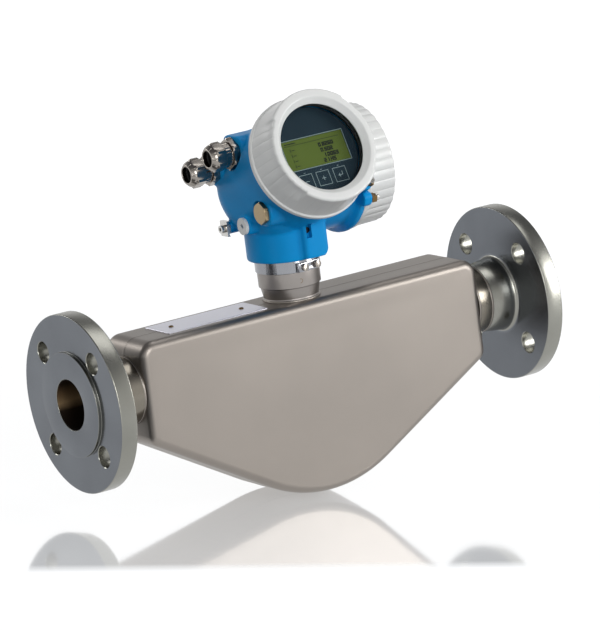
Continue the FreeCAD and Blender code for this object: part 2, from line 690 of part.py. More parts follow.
def make_tube(label, side):
    body = new_body(label)
    lift = "%s * tube_spacing / 2" % side
    slope = tube_slope()
    run = "shell_length / 2 - chamber_depth"
    start = number(run)
    bend = number(BEND)
    upper = size["tube_bend"]
    lower = size["tube_belly"]
    level = lower - size["tube_depth"]
    path = attach(body, label + "_path", "XZ_Plane", "-(%s)" % lift)
    left = FreeCAD.Vector(-bend, -upper, 0)
    right = FreeCAD.Vector(bend, -upper, 0)
    belly = FreeCAD.Vector(0, level, 0)
    lean = FreeCAD.Vector(math.sin(slope), math.cos(slope), 0)
    mirror = FreeCAD.Vector(-math.sin(slope), math.cos(slope), 0)

    def arc(centre, radius, begin, end):
        return Part.ArcOfCircle(Part.Circle(centre, Z_AXIS, radius), begin, end)

    quarter = math.pi / 2
    curves = [
        Part.LineSegment(FreeCAD.Vector(-start, 0, 0), FreeCAD.Vector(-bend, 0, 0)),
        arc(left, upper, quarter - slope, quarter),
        Part.LineSegment(left + lean * upper, belly - lean * lower),
        arc(belly, lower, 3 * quarter - slope, 3 * quarter + slope),
        Part.LineSegment(belly - mirror * lower, right + mirror * upper),
        arc(right, upper, quarter, quarter + slope),
        Part.LineSegment(FreeCAD.Vector(bend, 0, 0), FreeCAD.Vector(start, 0, 0)),
    ]
    for curve in curves:
        path.addGeometry(curve, False)
    joints = [(0, 2, 1, 2), (1, 1, 2, 1), (2, 2, 3, 1), (3, 2, 4, 1), (4, 2, 5, 2), (5, 1, 6, 1)]
    for first, first_end, second, second_end in joints:
        path.addConstraint(Sketcher.Constraint("Tangent", first, first_end, second, second_end))
    fix_point(path, 0, 1, "-(%s)" % run, "0")
    fix_point(path, 6, 2, run, "0")
    centres = ((1, "-" + BEND, "-tube_bend", "tube_bend"),
               (3, "0", "tube_belly - tube_depth", "tube_belly"),
               (5, BEND, "-tube_bend", "tube_bend"))
    for curve, x, y, radius in centres:
        fix_point(path, curve, 3, x, y)
        index = path.addConstraint(Sketcher.Constraint("Radius", curve, number(radius)))
        path.setExpression("Constraints[%d]" % index, bound(radius))
    ring = attach(body, label + "_section", "YZ_Plane", "-(%s)" % run)
    draw_circle(ring, lift, "0", "tube_od / 2")
    draw_circle(ring, lift, "0", "tube_od / 2 - tube_wall")
    pipe = body.newObject("PartDesign::AdditivePipe", label + "_pipe")
    pipe.Profile = ring
    pipe.Spine = (path, [])
    doc.recompute()
    in_neck(body)


def make_brace(label, outlet):
    """A plate across both tubes that sets where their vibration starts."""
    body = new_body(label)
    sketch = attach(body, label + "_outline", "YZ_Plane", "-brace_thick / 2")
    half = "brace_width / 2"
    high = "brace_height / 2"
    draw_outline(sketch, [("-" + half, "-" + high), (half, "-" + high), (half, high), ("-" + half, high)])
    for side in ("", "-"):
        draw_circle(sketch, side + "tube_spacing / 2", "0", "tube_od / 2 + weld_gap")
    pad(body, label + "_plate", sketch, "brace_thick")
    slope = tube_slope()
    lean = FreeCAD.Vector(math.sin(slope), 0, math.cos(slope))
    upper = FreeCAD.Vector(-number(BEND), 0, -size["tube_bend"]) + lean * size["tube_bend"]
    lower = FreeCAD.Vector(0, 0, size["tube_belly"] - size["tube_depth"]) - lean * size["tube_belly"]
    spot = upper + (lower - upper) * size["brace_place"]
    turn = math.degrees(slope)
    if outlet:
        spot.x = -spot.x
        turn = -turn
    body.Placement = FreeCAD.Placement(FreeCAD.Vector(number(MIDDLE) + spot.x, 0, spot.z),
                                       FreeCAD.Rotation(Y_AXIS, turn))


def make_tube_unit(label, side, angle, radius):
    """A coil cup, magnet or probe on a saddle that is brazed to the inside of a tube's lower bend."""
    body = new_body(label)
    surface = "-(tube_belly - tube_od / 2)"
    axis_level = "%s + coil_lift" % surface
    near = "coil_gap / 2"
    sign = 1 if side == "rear" else -1
    foot = attach(body, label + "_foot_sketch", "XY_Plane", "-tube_belly")
    inner = "%d * (%s)" % (sign, near)
    outer = "%d * (%s + coil_reach)" % (sign, near)
    wide = "%s * foot_share / 2" % radius
    draw_outline(foot, [("-" + wide, inner), (wide, inner), (wide, outer), ("-" + wide, outer)])
    pad(body, label + "_foot", foot, "tube_od / 2 + coil_lift")
    cup = attach(body, label + "_cup_sketch", "XZ_Plane", near if sign < 0 else "-(%s)" % near)
    draw_circle(cup, "0", axis_level, radius)
    pad(body, label + "_cup", cup, "coil_reach", sign > 0)
    saddle = attach(body, label + "_saddle_sketch", "YZ_Plane", "-" + radius)
    draw_circle(saddle, "%d * tube_spacing / 2" % sign, "-tube_belly", "tube_od / 2 + braze_gap")
    cut(body, label + "_saddle", saddle, "2 * " + radius, True)
    place(body, x=MIDDLE, z="tube_belly - tube_depth", axis=Y_AXIS, angle=angle)


# Neck, nameplate and the ring that holds the head

def make_nameplate():
    body = new_body("nameplate")
    sketch = attach(body, "nameplate_outline", "XY_Plane", "shell_top")
    near = "-plate_offset"
    far = "-(plate_offset + plate_length)"
    half = "plate_width / 2"
    draw_outline(sketch, [(far, "-" + half), (near, "-" + half), (near, half), (far, half)])
    for x in ("-(plate_offset + rivet_inset)", "-(plate_offset + plate_length - rivet_inset)"):
        draw_circle(sketch, x, "0", "rivet_radius + weld_gap")
    pad(body, "nameplate_sheet", sketch, "plate_thick")
    in_neck(body)
    heads = []
    for index, inset in enumerate(("rivet_inset", "plate_length - rivet_inset")):
        shank = drum("rivet_shank_%d" % index, "rivet_radius", "plate_thick")
        place(shank, x=MIDDLE + " - plate_offset - (%s)" % inset, z="shell_top")
        top = drum("rivet_top_%d" % index, "rivet_head", "plate_thick")
        place(top, x=MIDDLE + " - plate_offset - (%s)" % inset, z="shell_top + plate_thick")
        whole = doc.addObject("Part::Fuse", "rivet_%d" % index)
        whole.Base = shank
        whole.Tool = top
        heads.append(whole)
    group("nameplate_rivets", heads)


def make_neck():
    spigot = "neck_spigot / 2"
    floor = spigot + " - " + GROOVE
    turned("neck_tube", [
        ("neck_bore / 2", "shell_top"),
        ("neck_foot / 2", "shell_top"),
        ("neck_flare / 2", "neck_band_low - neck_step"),
        ("neck_band / 2", "neck_band_low"),
        ("neck_band / 2", "ring_low"),
        (spigot, "ring_low"),
        (spigot, "seal_place - groove_width / 2"),
        (floor, "seal_place - groove_width / 2"),
        (floor, "seal_place + groove_width / 2"),
        (spigot, "seal_place + groove_width / 2"),
        (spigot, "neck_top"),
        ("neck_bore / 2", "neck_top"),
    ], in_neck)
    seal_ring("neck_seal", spigot, "seal_place", in_neck)
    body = new_body("neck_feedthrough")
    round_pad(body, "feed_disc", "neck_bore / 2 - weld_gap", "feed_low", "feed_thick")
    pin = round_pad(body, "feed_pin", "pin_radius", "feed_low - feed_thick", "3 * feed_thick",
                    x="pin_circle / 2")
    repeat(body, "feed_pins", pin, "pin_count")
    in_neck(body)


def make_bayonet():
    """The ring under the head, with the lug that takes its two securing screws."""
    body = new_body("bayonet_ring")
    revolve(body, "bayonet_turned", [
        ("neck_spigot / 2 + weld_gap", "ring_low"),
        ("ring_od / 2", "ring_low"),
        ("ring_od / 2", "collar_low - turn_gap"),
        ("neck_spigot / 2 + weld_gap", "collar_low - turn_gap"),
    ])
    sketch = attach(body, "bayonet_lug_sketch", "XY_Plane", "lug_low")
    half = "lug_width / 2"
    inner = "-(neck_spigot + ring_od) / 4"
    outer = "-lug_front"
    draw_outline(sketch, [("-" + half, outer), (half, outer), (half, inner), ("-" + half, inner)])
    pad(body, "bayonet_lug", sketch, "lug_high - lug_low")
    front = -size["lug_front"]
    tip = lambda edge: is_upright(edge) and abs(edge.Vertexes[0].Y - front) < 0.01
    soften(body, "bayonet_lug_ends", "ring_lug_round", tip)
    level = "(lug_low + lug_high) / 2"
    for side in ("", "-"):
        name = "bayonet_screw_hole_" + ("left" if side else "right")
        round_cut(body, name, "screw_radius + weld_gap", "lug_front", "screw_depth",
                  x=side + "screw_pitch / 2", y=level, plane="XZ_Plane")
    place(body, x=MIDDLE, axis=Z_AXIS, angle="lug_angle")
    screws = []
    turn = math.radians(size["lug_angle"])
    for index, side in enumerate((-1, 1)):
        shank = place(drum("securing_shank_%d" % index, "screw_radius", "screw_depth"), z="-screw_depth")
        head = drum("securing_head_%d" % index, "screw_head", "screw_rise")
        whole = doc.addObject("Part::Fuse", "securing_screw_%d" % index)
        whole.Base = shank
        whole.Tool = head
        across = side * size["screw_pitch"] / 2
        front = size["lug_front"]
        spot = FreeCAD.Vector(number(MIDDLE) + across * math.cos(turn) + front * math.sin(turn),
                              across * math.sin(turn) - front * math.cos(turn), number(level))
        face = FreeCAD.Rotation(Z_AXIS, size["lug_angle"]).multiply(FreeCAD.Rotation(X_AXIS, 90))
        whole.Placement = FreeCAD.Placement(spot, face)
        screws.append(whole)
    group("bayonet_screws", screws)


# Transmitter housing: one casting of two crossing barrels on a collar

def turned_form(name, profile, holder):
    """A turned piece of the casting or of its hollows."""
    body = new_body(name, False)
    revolve(body, name + "_turned", profile)
    return holder(body)


def round_form(name, radius, level, height, holder, back=False):
    body = new_body(name, False)
    round_pad(body, name + "_round", radius, level, height, back=back)
    return holder(body)


def block_form(name, corners, level, height, holder):
    body = new_body(name, False)
    sketch = attach(body, name + "_outline", "XY_Plane", level)
    draw_outline(sketch, corners)
    pad(body, name + "_block", sketch, height)
    return body, holder(body)


def clamp_frame(item, holder, angle, reach, end):
    """Local Z along a barrel's axis, local X away from it, at a clamp's place on the rim."""
    holder(item)
    frame = item.Placement
    spin = FreeCAD.Rotation(Z_AXIS, number(angle))
    spot = spin.multVec(FreeCAD.Vector(number(reach), 0, 0))
    spot.z = number(end)
    item.setExpression(".Placement.Base.x", None)
    item.setExpression(".Placement.Base.z", None)
    item.setExpression(".Placement.Rotation.Angle", None)
    item.Placement = FreeCAD.Placement(frame.multVec(spot), frame.Rotation.multiply(spin))
    return item


def barrel_form(name, back, rounding, radius, flange, thick, slope, seat, top, holder):
    """A barrel from its rounded closed end to the grooved and threaded spigot of its cover."""
    spigot = "thread_od / 2"
    floor = spigot + " - " + GROOVE
    low = seat + " + groove_start"
    high = low + " + groove_width"
    body = new_body(name, False)
    revolve(body, name + "_turned", [
        ("0", "-" + back),
        (radius, "-" + back),
        (radius, "%s - %s - %s" % (seat, thick, slope)),
        (flange, "%s - %s" % (seat, thick)),
        (flange, seat),
        (spigot, seat),
        (spigot, low),
        (floor, low),
        (floor, high),
        (spigot, high),
        (spigot, top),
        ("0", top),
    ])
    end = -number(back)
    soften(body, name + "_back", rounding, lambda edge: is_circle(edge, number(radius), end))
    return holder(body)


def make_casting():
    """The outer form: barrels, collar, lock pad, entry bosses and clamp lugs."""
    front_top = "front_shoulder + front_spigot"
    end_top = "end_shoulder + end_spigot"
    forms = [
        barrel_form("terminal_barrel", "bowl_end", "bowl_round", "end_barrel / 2", "end_flange / 2",
                    "end_flange_thick", "end_flange_slope", "end_shoulder", end_top, in_wiring),
        barrel_form("display_barrel", "back_end", "back_round", "front_barrel / 2",
                    "front_barrel / 2 + shoulder_over", "shoulder_thick", "shoulder_over",
                    "front_shoulder", front_top, in_display),
        turned_form("collar", [
            ("0", "collar_low"),
            ("collar_radius - collar_chamfer", "collar_low"),
            ("collar_radius", "collar_low + collar_chamfer"),
            ("collar_radius", "head_height"),
            ("0", "head_height"),
        ], in_neck),
    ]
    body, form = block_form("lock_pad", [
        ("pad_left", "-pad_front"), ("pad_right", "-pad_front"), ("pad_right", "0"), ("pad_left", "0"),
    ], "collar_low + collar_chamfer", "pad_high - collar_low - collar_chamfer", in_neck)
    right = size["pad_right"]
    low = number("collar_low + collar_chamfer")
    corner = lambda edge: all(abs(point.X - right) + abs(point.Z - low) < 0.01 for point in edge.Vertexes)
    soften(body, "lock_pad_corner", "pad_corner", corner, "Chamfer")
    front = -size["pad_front"]
    soften(body, "lock_pad_edges", "pad_round",
           lambda edge: is_upright(edge) and abs(edge.Vertexes[0].Y - front) < 0.01)
    forms.append(form)
    half = "entry_a_pad / 2"
    seat = lambda item: at_entry(item, "bowl_end", "entry_a_y", "entry_a_z")
    body, form = block_form("entry_a_form", [
        ("-" + half, "-" + half), (half, "-" + half), (half, half), ("-" + half, half),
    ], "-bowl_end", "bowl_end", seat)
    soften(body, "entry_a_corners", "entry_a_round", is_upright)
    forms.append(form)
    bosses = [
        ("entry_b_form", "entry_b_boss", "entry_b_end", "entry_b_y", "entry_b_z"),
        ("plug_form", "plug_boss", "plug_end", "plug_y", "plug_z"),
        ("cap_form", "cap_boss", "cap_end", "cap_y", "cap_z"),
        ("earth_form", "earth_boss", "earth_end", "earth_y", "earth_z"),
    ]
    for name, radius, end, y, z in bosses:
        seat = lambda item: at_entry(item, end, y, z)
        forms.append(round_form(name, radius, "0", end + " - boss_root", seat, True))
    lugs = (("front_lug", in_display, "front_lug_angle", "front_shoulder"),
            ("end_lug", in_wiring, "end_lug_angle", "end_shoulder"))
    for name, holder, angle, end in lugs:
        seat = lambda item: clamp_frame(item, holder, angle, "0", end)
        body, form = block_form(name, [
            ("lug_root", "-lug_half"), ("lug_reach", "-lug_half"),
            ("lug_reach", "lug_half"), ("lug_root", "lug_half"),
        ], "-lug_deep", "lug_deep", seat)
        far = size["lug_reach"]
        soften(body, name + "_ends", "lug_round",
               lambda edge: is_upright(edge) and abs(edge.Vertexes[0].X - far) < 0.01)
        forms.append(form)
    return forms


def make_hollows():
    """The chambers, passage, neck bore, threaded entries, spot faces and screw holes of the casting."""
    front_top = "front_shoulder + front_spigot"
    end_top = "end_shoulder + end_spigot"
    hollows = [
        turned_form("electronics_chamber", [
            ("0", "-inner_back"),
            ("inner_radius", "-inner_back"),
            ("inner_radius", "mouth_step"),
            ("mouth_radius", "mouth_step"),
            ("mouth_radius", front_top + " + cut_over"),
            ("0", front_top + " + cut_over"),
        ], in_display),
        turned_form("terminal_chamber", [
            ("0", "wiring_floor"),
            ("wiring_radius", "wiring_floor"),
            ("wiring_radius", end_top + " + cut_over"),
            ("0", end_top + " + cut_over"),
        ], in_wiring),
        round_form("passage", "passage_radius", "passage_start",
                   "wiring_floor - passage_start + cut_over", in_wiring),
        round_form("neck_hollow", "neck_spigot / 2 + turn_gap", "collar_low - cut_over",
                   "neck_top - collar_low + neck_room + cut_over", in_neck),
    ]
    entries = [
        ("entry_a_hollow", "entry_radius", "bowl_end", "entry_a_y", "entry_a_z", "entry_depth"),
        ("entry_b_hollow", "entry_radius", "entry_b_end", "entry_b_y", "entry_b_z", "entry_depth"),
        ("plug_hollow", "plug_thread", "plug_end", "plug_y", "plug_z",
         "plug_screw + thread_room"),
        ("cap_hollow", "cap_thread", "cap_end", "cap_y", "cap_z",
         "cap_screw + thread_room"),
        ("earth_hollow", "screw_radius", "earth_end", "earth_y", "earth_z",
         "earth_screw_depth + thread_room"),
    ]
    for name, radius, end, y, z, depth in entries:
        seat = lambda item: at_entry(item, end, y, z)
        width = radius + " + weld_gap"
        hollows.append(round_form(name, width, "cut_over", depth + " + cut_over", seat, True))
    seats = [
        ("entry_a_seat", "entry_seat", "bowl_end", "entry_a_y", "entry_a_z"),
        ("plug_seat_form", "plug_seat", "plug_end", "plug_y", "plug_z"),
    ]
    for name, radius, end, y, z in seats:
        seat = lambda item: at_entry(item, end, y, z)
        hollows.append(round_form(name, radius, "0", "seat_over", seat))
    clamps = (("front_clamp_hollow", in_display, "front_lug_angle", "front_shoulder"),
              ("end_clamp_hollow", in_wiring, "end_lug_angle", "end_shoulder"))
    for name, holder, angle, end in clamps:
        seat = lambda item: clamp_frame(item, holder, angle, "claw_place", end)
        depth = "clamp_depth + thread_room + cut_over"
        hollows.append(round_form(name, "screw_radius + weld_gap", "cut_over", depth, seat, True))
    body, form = block_form("lock_slot", [
        ("slot_middle - slot_width / 2", "-(pad_front + cut_over)"),
        ("slot_middle + slot_width / 2", "-(pad_front + cut_over)"),
        ("slot_middle + slot_width / 2", "-(pad_front - slot_depth)"),
        ("slot_middle - slot_width / 2", "-(pad_front - slot_depth)"),
    ], "slot_low", "slot_high - slot_low", in_neck)
    hollows.append(form)
    return hollows


def make_housing():
    """The casting less its hollows."""
    casting = doc.addObject("Part::MultiFuse", "casting")
    casting.Shapes = make_casting()
    hollow = doc.addObject("Part::MultiFuse", "hollows")
    hollow.Shapes = make_hollows()
    housing = doc.addObject("Part::Cut", "transmitter_housing")
    housing.Label = "transmitter_housing"
    housing.Base = casting
    housing.Tool = hollow
    nodes.append(housing)
    doc.recompute()


# Covers and what closes them

def add_flutes(body, name, top_radius, low, high):
    """Grip flutes cut round a cover's skirt, deeper at its front where the skirt is narrower."""
    sketch = attach(body, name + "_sketch", "XY_Plane", high)
    draw_circle(sketch, "%s + flute_radius - flute_depth" % top_radius, "0", "flute_radius")
    flute = cut(body, name, sketch, "%s - (%s)" % (high, low))
    repeat(body, name + "_round", flute, "flute_count")


def cut_sector(body, name, profile, middle, sweep):
    """A turned cut that runs only part of the way round, centred on an angle."""
    sketch = attach(body, name + "_sketch", "XZ_Plane")
    sketch.AttachmentOffset = FreeCAD.Placement(FreeCAD.Vector(), FreeCAD.Rotation(Y_AXIS, number(middle)))
    sketch.setExpression(".AttachmentOffset.Rotation.Angle", bound(middle))
    draw_outline(sketch, profile)
    groove = body.newObject("PartDesign::Groove", name)
    groove.Profile = sketch
    groove.ReferenceAxis = (sketch, ["V_Axis"])
    groove.Midplane = True
    bind(groove, Angle=sweep)
    doc.recompute()


def make_front_cover():
    base = "front_shoulder + cover_gap"
    inner = "thread_od / 2 + turn_gap"
    body = new_body("front_cover")
    revolve(body, "front_cover_turned", [
        (inner, base),
        ("thread_od / 2 + rim_wall", base),
        ("thread_od / 2 + rim_wall", base + " + rim_height"),
        ("thread_od / 2 + skirt_wall", base + " + rim_height + rim_slope"),
        ("thread_od / 2 + front_wall", "cover_front - cover_edge"),
        ("thread_od / 2 + front_wall - cover_edge", "cover_front"),
        ("bevel_outer", "cover_front"),
        ("window_radius", "glass_level + glass_lip"),
        ("window_radius", "glass_level"),
        ("glass_radius + fit_gap", "glass_level"),
        ("glass_radius + fit_gap", "glass_level - glass_thick - clip_thick"),
        (inner, base + " + cover_bore"),
    ])
    for side in ("left", "right"):
        cut_sector(body, "grip_" + side, [
            ("thread_od / 2 + skirt_wall", "cover_front - grip_height"),
            ("thread_od / 2 + front_wall - grip_depth", "cover_front"),
            ("thread_od / 2 + front_wall - grip_depth", "cover_front + cut_over"),
            ("thread_od / 2 + skirt_wall", "cover_front + cut_over"),
        ], "grip_" + side, "grip_sweep")
    add_flutes(body, "front_flute", "thread_od / 2 + front_wall", base + " + rim_height", "cover_front")
    in_display(body)
    turned("window_glass", [
        ("0", "glass_level - glass_thick"),
        ("glass_radius", "glass_level - glass_thick"),
        ("glass_radius", "glass_level"),
        ("0", "glass_level"),
    ], in_display)
    turned("window_retainer", [
        ("clip_radius", "glass_level - glass_thick - clip_thick"),
        ("glass_radius + fit_gap - weld_gap", "glass_level - glass_thick - clip_thick"),
        ("glass_radius + fit_gap - weld_gap", "glass_level - glass_thick"),
        ("clip_radius", "glass_level - glass_thick"),
    ], in_display)


def make_terminal_cover():
    base = "end_shoulder + cover_gap"
    inner = "thread_od / 2 + turn_gap"
    body = new_body("terminal_cover")
    revolve(body, "terminal_cover_turned", [
        (inner, base),
        ("thread_od / 2 + cap_rim_wall", base),
        ("thread_od / 2 + cap_rim_wall", base + " + rim_height"),
        ("thread_od / 2 + cap_skirt_wall", base + " + rim_height + rim_slope"),
        ("thread_od / 2 + cap_face_wall", "cap_front - cover_edge"),
        ("thread_od / 2 + cap_face_wall - cover_edge", "cap_front"),
        ("cap_recess_radius", "cap_front"),
        ("cap_recess_radius - cap_recess", "cap_front - cap_recess"),
        ("0", "cap_front - cap_recess"),
        ("0", "cap_front - cap_recess - cap_wall"),
        ("cap_cavity", "cap_front - cap_recess - cap_wall"),
        ("cap_cavity", base + " + cover_bore"),
        (inner, base + " + cover_bore"),
    ])
    add_flutes(body, "terminal_flute", "thread_od / 2 + cap_face_wall", base + " + rim_height", "cap_front")
    in_wiring(body)


def make_cover_seals():
    above = " + groove_start + groove_width / 2"
    seal_ring("front_cover_seal", "thread_od / 2", "front_shoulder" + above, in_display)
    seal_ring("terminal_cover_seal", "thread_od / 2", "end_shoulder" + above, in_wiring)


# Inside of the head

def draw_screen(sketch, margin):
    left = "screen_left - " + margin
    right = "screen_right + " + margin
    low = "screen_low - " + margin
    high = "screen_high + " + margin
    draw_outline(sketch, [(left, low), (right, low), (right, high), (left, high)])


def make_display():
    turned("display_carrier", [
        ("0", "carrier_back"),
        ("carrier_radius - carrier_edge", "carrier_back"),
        ("carrier_radius", "carrier_back + carrier_edge"),
        ("carrier_radius", "panel_level - panel_thick"),
        ("0", "panel_level - panel_thick"),
    ], in_display)
    body = new_body("display_panel")
    round_pad(body, "panel_disc", "panel_radius", "panel_level - panel_thick", "panel_thick")
    opening = attach(body, "panel_opening_sketch", "XY_Plane", "panel_level")
    draw_screen(opening, "fit_gap")
    cut(body, "panel_opening", opening)
    in_display(body)
    screen = new_body("display_screen")
    sketch = attach(screen, "screen_sketch", "XY_Plane", "panel_level - panel_thick")
    draw_screen(sketch, "0")
    pad(screen, "screen_glass", sketch, "panel_thick - screen_sink")
    in_display(screen)


def make_board(label, level, radius, thick="board_thick", chips=True):
    """A round plate threaded on the posts. A circuit board carries its parts as raised blocks."""
    body = new_body(label)
    round_pad(body, label + "_disc", radius, level, thick)
    if chips:
        sketch = attach(body, label + "_chip_sketch", "XY_Plane", "%s + %s" % (level, thick))
        half = "chip_length / 2"
        far = "chip_near + chip_length"
        draw_outline(sketch, [("chip_near", "-" + half), (far, "-" + half), (far, half), ("chip_near", half)])
        chip = pad(body, label + "_chip", sketch, "chip_height")
        repeat(body, label + "_chips", chip, "chip_count")
    spot = "post_circle / 2 * cos(45 deg)"
    hole = round_cut(body, label + "_hole", "post_hole", level, x=spot, y=spot, forward=True)
    repeat(body, label + "_holes", hole, "post_count")
    in_display(body)


def make_posts():
    posts = []
    frame = in_display(doc.addObject("Part::Cylinder", "post_frame")).Placement
    doc.removeObject("post_frame")
    count = int(size["post_count"])
    for index in range(count):
        post = drum("post_%d" % index, "post_radius", "carrier_back - turn_gap - post_low")
        angle = math.radians(45 + 360 / count * index)
        reach = size["post_circle"] / 2
        spot = FreeCAD.Vector(reach * math.cos(angle), reach * math.sin(angle), size["post_low"])
        post.Placement = FreeCAD.Placement(frame.Base + frame.Rotation.multVec(spot), frame.Rotation)
        posts.append(post)
    group("board_posts", posts)


def make_terminals():
    body = new_body("terminal_block")
    sketch = attach(body, "block_sketch", "XY_Plane", "wiring_floor")
    tall = "block_width / 2"
    wide = "block_length / 2"
    draw_outline(sketch, [("-" + tall, "-" + wide), (tall, "-" + wide), (tall, wide), ("-" + tall, wide)])
    pad(body, "block_body", sketch, "block_height")
    screws = []
    frame = in_wiring(body).Placement
    count = int(size["terminal_count"])
    for index in range(count):
        along = (index - (count - 1) / 2) * size["terminal_pitch"]
        floor = number("wiring_floor + block_height - terminal_depth")
        round_cut(body, "block_hole_%d" % index, "terminal_radius + weld_gap", "wiring_floor + block_height",
                  "terminal_depth", x="-terminal_row", y="%g * terminal_pitch" % (index - (count - 1) / 2))
        screw = drum("terminal_screw_%d" % index, "terminal_radius", "terminal_depth + terminal_rise")
        spot = FreeCAD.Vector(-size["terminal_row"], along, floor)
        screw.Placement = FreeCAD.Placement(frame.multVec(spot), frame.Rotation)
        screws.append(screw)
    group("terminal_screws", screws)


# Fittings on the left end

def make_gland(label, end, y, z):
    """A cable gland: threaded body, rubber insert and domed nut."""
    seat = lambda item: at_entry(item, end, y, z)
    body = new_body(label + "_body")
    round_pad(body, label + "_entry", "entry_radius", "-gland_thread", "gland_thread")
    sketch = attach(body, label + "_hex_sketch", "XY_Plane")
    draw_hexagon(sketch, "gland_flats")
    pad(body, label + "_hex", sketch, "gland_hex")
    foot = "gland_hex + nut_gap"
    shoulder = foot + " + nut_skirt"
    dome = shoulder + " + nut_hex"
    neck_top = shoulder + " + gland_grip"
    round_pad(body, label + "_neck", "gland_neck", "gland_hex", "%s - gland_hex" % neck_top)
    round_cut(body, label + "_bore", "gland_bore", neck_top)
    seat(body)
    nut = new_body(label + "_nut")
    round_pad(nut, label + "_skirt", "nut_barrel", foot, "nut_skirt")
    sketch = attach(nut, label + "_nut_sketch", "XY_Plane", shoulder)
    draw_hexagon(sketch, "nut_flats")
    pad(nut, label + "_nut_hex", sketch, "nut_hex")
    revolve(nut, label + "_dome", [
        ("0", dome),
        ("nut_flats / 2", dome),
        ("nut_flats / 2 - dome_shoulder", dome + " + nut_dome / 2"),
        ("nut_flats / 2 - dome_tip", dome + " + nut_dome"),
        ("0", dome + " + nut_dome"),
    ])
    bore(nut, label + "_nut_bore", [
        ("0", foot + " - cut_over"),
        ("gland_neck + turn_gap", foot + " - cut_over"),
        ("gland_neck + turn_gap", dome),
        ("nut_mouth", dome + " + mouth_cone"),
        ("nut_mouth", dome + " + nut_dome + cut_over"),
        ("0", dome + " + nut_dome + cut_over"),
    ])
    seat(nut)
    turned(label + "_seal", [
        ("insert_bore", neck_top),
        ("gland_neck - turn_gap", neck_top),
        ("gland_neck - turn_gap", dome + " - turn_gap"),
        ("insert_bore", dome + " - turn_gap"),
    ], seat)


def make_left_fittings():
    plug = new_body("entry_plug")
    round_pad(plug, "plug_shank", "plug_thread", "-plug_screw", "plug_screw")
    sketch = attach(plug, "plug_hex_sketch", "XY_Plane")
    draw_hexagon(sketch, "plug_flats")
    pad(plug, "plug_hex", sketch, "plug_head")
    at_entry(plug, "plug_end", "plug_y", "plug_z")
    cap = new_body("service_plug")
    round_pad(cap, "cap_shank", "cap_thread", "-cap_screw", "cap_screw")
    round_pad(cap, "cap_disc", "cap_radius", "0", "cap_head")
    sketch = attach(cap, "cap_socket_sketch", "XY_Plane", "cap_head")
    draw_hexagon(sketch, "cap_socket")
    cut(cap, "cap_socket_cut", sketch, "cap_socket_depth")
    at_entry(cap, "cap_end", "cap_y", "cap_z")
    saddle = new_body("earth_clamp")
    sketch = attach(saddle, "saddle_sketch", "XY_Plane")
    tall = "saddle_half"
    wide = "earth_boss"
    draw_outline(sketch, [("-" + tall, "-" + wide), (tall, "-" + wide), (tall, wide), ("-" + tall, wide)])
    pad(saddle, "saddle_plate", sketch, "saddle_thick")
    round_cut(saddle, "saddle_hole", "screw_radius + fit_gap", "saddle_thick")
    for side in ("", "-"):
        name = "saddle_groove_" + ("low" if side else "high")
        round_cut(saddle, name, "wire_radius", "-earth_boss", x=side + "(saddle_half - wire_radius)",
                  plane="XZ_Plane", forward=True)
    at_entry(saddle, "earth_end", "earth_y", "earth_z")
    screw = new_body("earth_screw")
    round_pad(screw, "earth_shank", "screw_radius", "-earth_screw_depth", "earth_screw_depth + saddle_thick")
    round_pad(screw, "earth_head_disc", "earth_head", "saddle_thick", "earth_rise")
    sketch = attach(screw, "earth_socket_sketch", "XY_Plane", "saddle_thick + earth_rise")
    draw_hexagon(sketch, "small_socket")
    cut(screw, "earth_socket", sketch, "small_socket_depth")
    at_entry(screw, "earth_end", "earth_y", "earth_z")
    lock = drum("housing_lock_screw", "slot_width / 2 - fit_gap", "lock_height")
    lock.Label = "housing_lock_screw"
    nodes.append(lock)
    place(lock, x=MIDDLE + " + slot_middle", y="-(pad_front - slot_depth)",
          z="(slot_low + slot_high) / 2", axis=X_AXIS, angle="90")


def make_clamp(prefix, holder, angle, end):
    """The claw that stops a cover from turning, on its own screw."""
    claw = new_body(prefix + "_claw")
    sketch = attach(claw, prefix + "_claw_sketch", "XY_Plane")
    draw_outline(sketch, [("-claw_inner", "-claw_half"), ("claw_outer", "-claw_half"),
                          ("claw_outer", "claw_half"), ("-claw_inner", "claw_half")])
    draw_circle(sketch, "0", "0", "screw_radius + weld_gap")
    pad(claw, prefix + "_claw_block", sketch, "claw_thick")
    screw = new_body(prefix + "_screw")
    round_pad(screw, prefix + "_shank", "screw_radius", "-clamp_depth", "clamp_depth + claw_thick")
    round_pad(screw, prefix + "_head", "screw_head", "claw_thick", "clamp_head")
    sketch = attach(screw, prefix + "_socket_sketch", "XY_Plane", "claw_thick + clamp_head")
    draw_hexagon(sketch, "small_socket")
    cut(screw, prefix + "_socket", sketch, "small_socket_depth")
    for body in (claw, screw):
        clamp_frame(body, holder, angle, "claw_place", end)


for label, outlet in (("inlet", False), ("outlet", True)):
    make_flange(label + "_flange", outlet)
    make_manifold(label + "_manifold", outlet)
    make_brace(label + "_brace", outlet)
make_shell("sensor_shell_front", False)
make_shell("sensor_shell_rear", True)
make_tube("measuring_tube_front", "-1")
make_tube("measuring_tube_rear", "1")
make_tube_unit("drive_coil", "front", "0", "coil_radius")
make_tube_unit("drive_magnet", "rear", "0", "magnet_radius")
for label, turn in (("inlet", "pickoff_angle"), ("outlet", "-pickoff_angle")):
    make_tube_unit(label + "_pickoff_coil", "front", turn, "coil_radius")
    make_tube_unit(label + "_pickoff_magnet", "rear", turn, "magnet_radius")
make_tube_unit("temperature_probe", "front", "probe_angle", "probe_radius")
make_nameplate()
make_neck()
make_bayonet()
make_housing()
make_front_cover()
make_terminal_cover()
make_cover_seals()
make_display()
make_board("mounting_plate", "mouth_step", "mouth_radius - fit_gap", "plate_seat", False)
make_board("power_board", "power_level", "board_small")
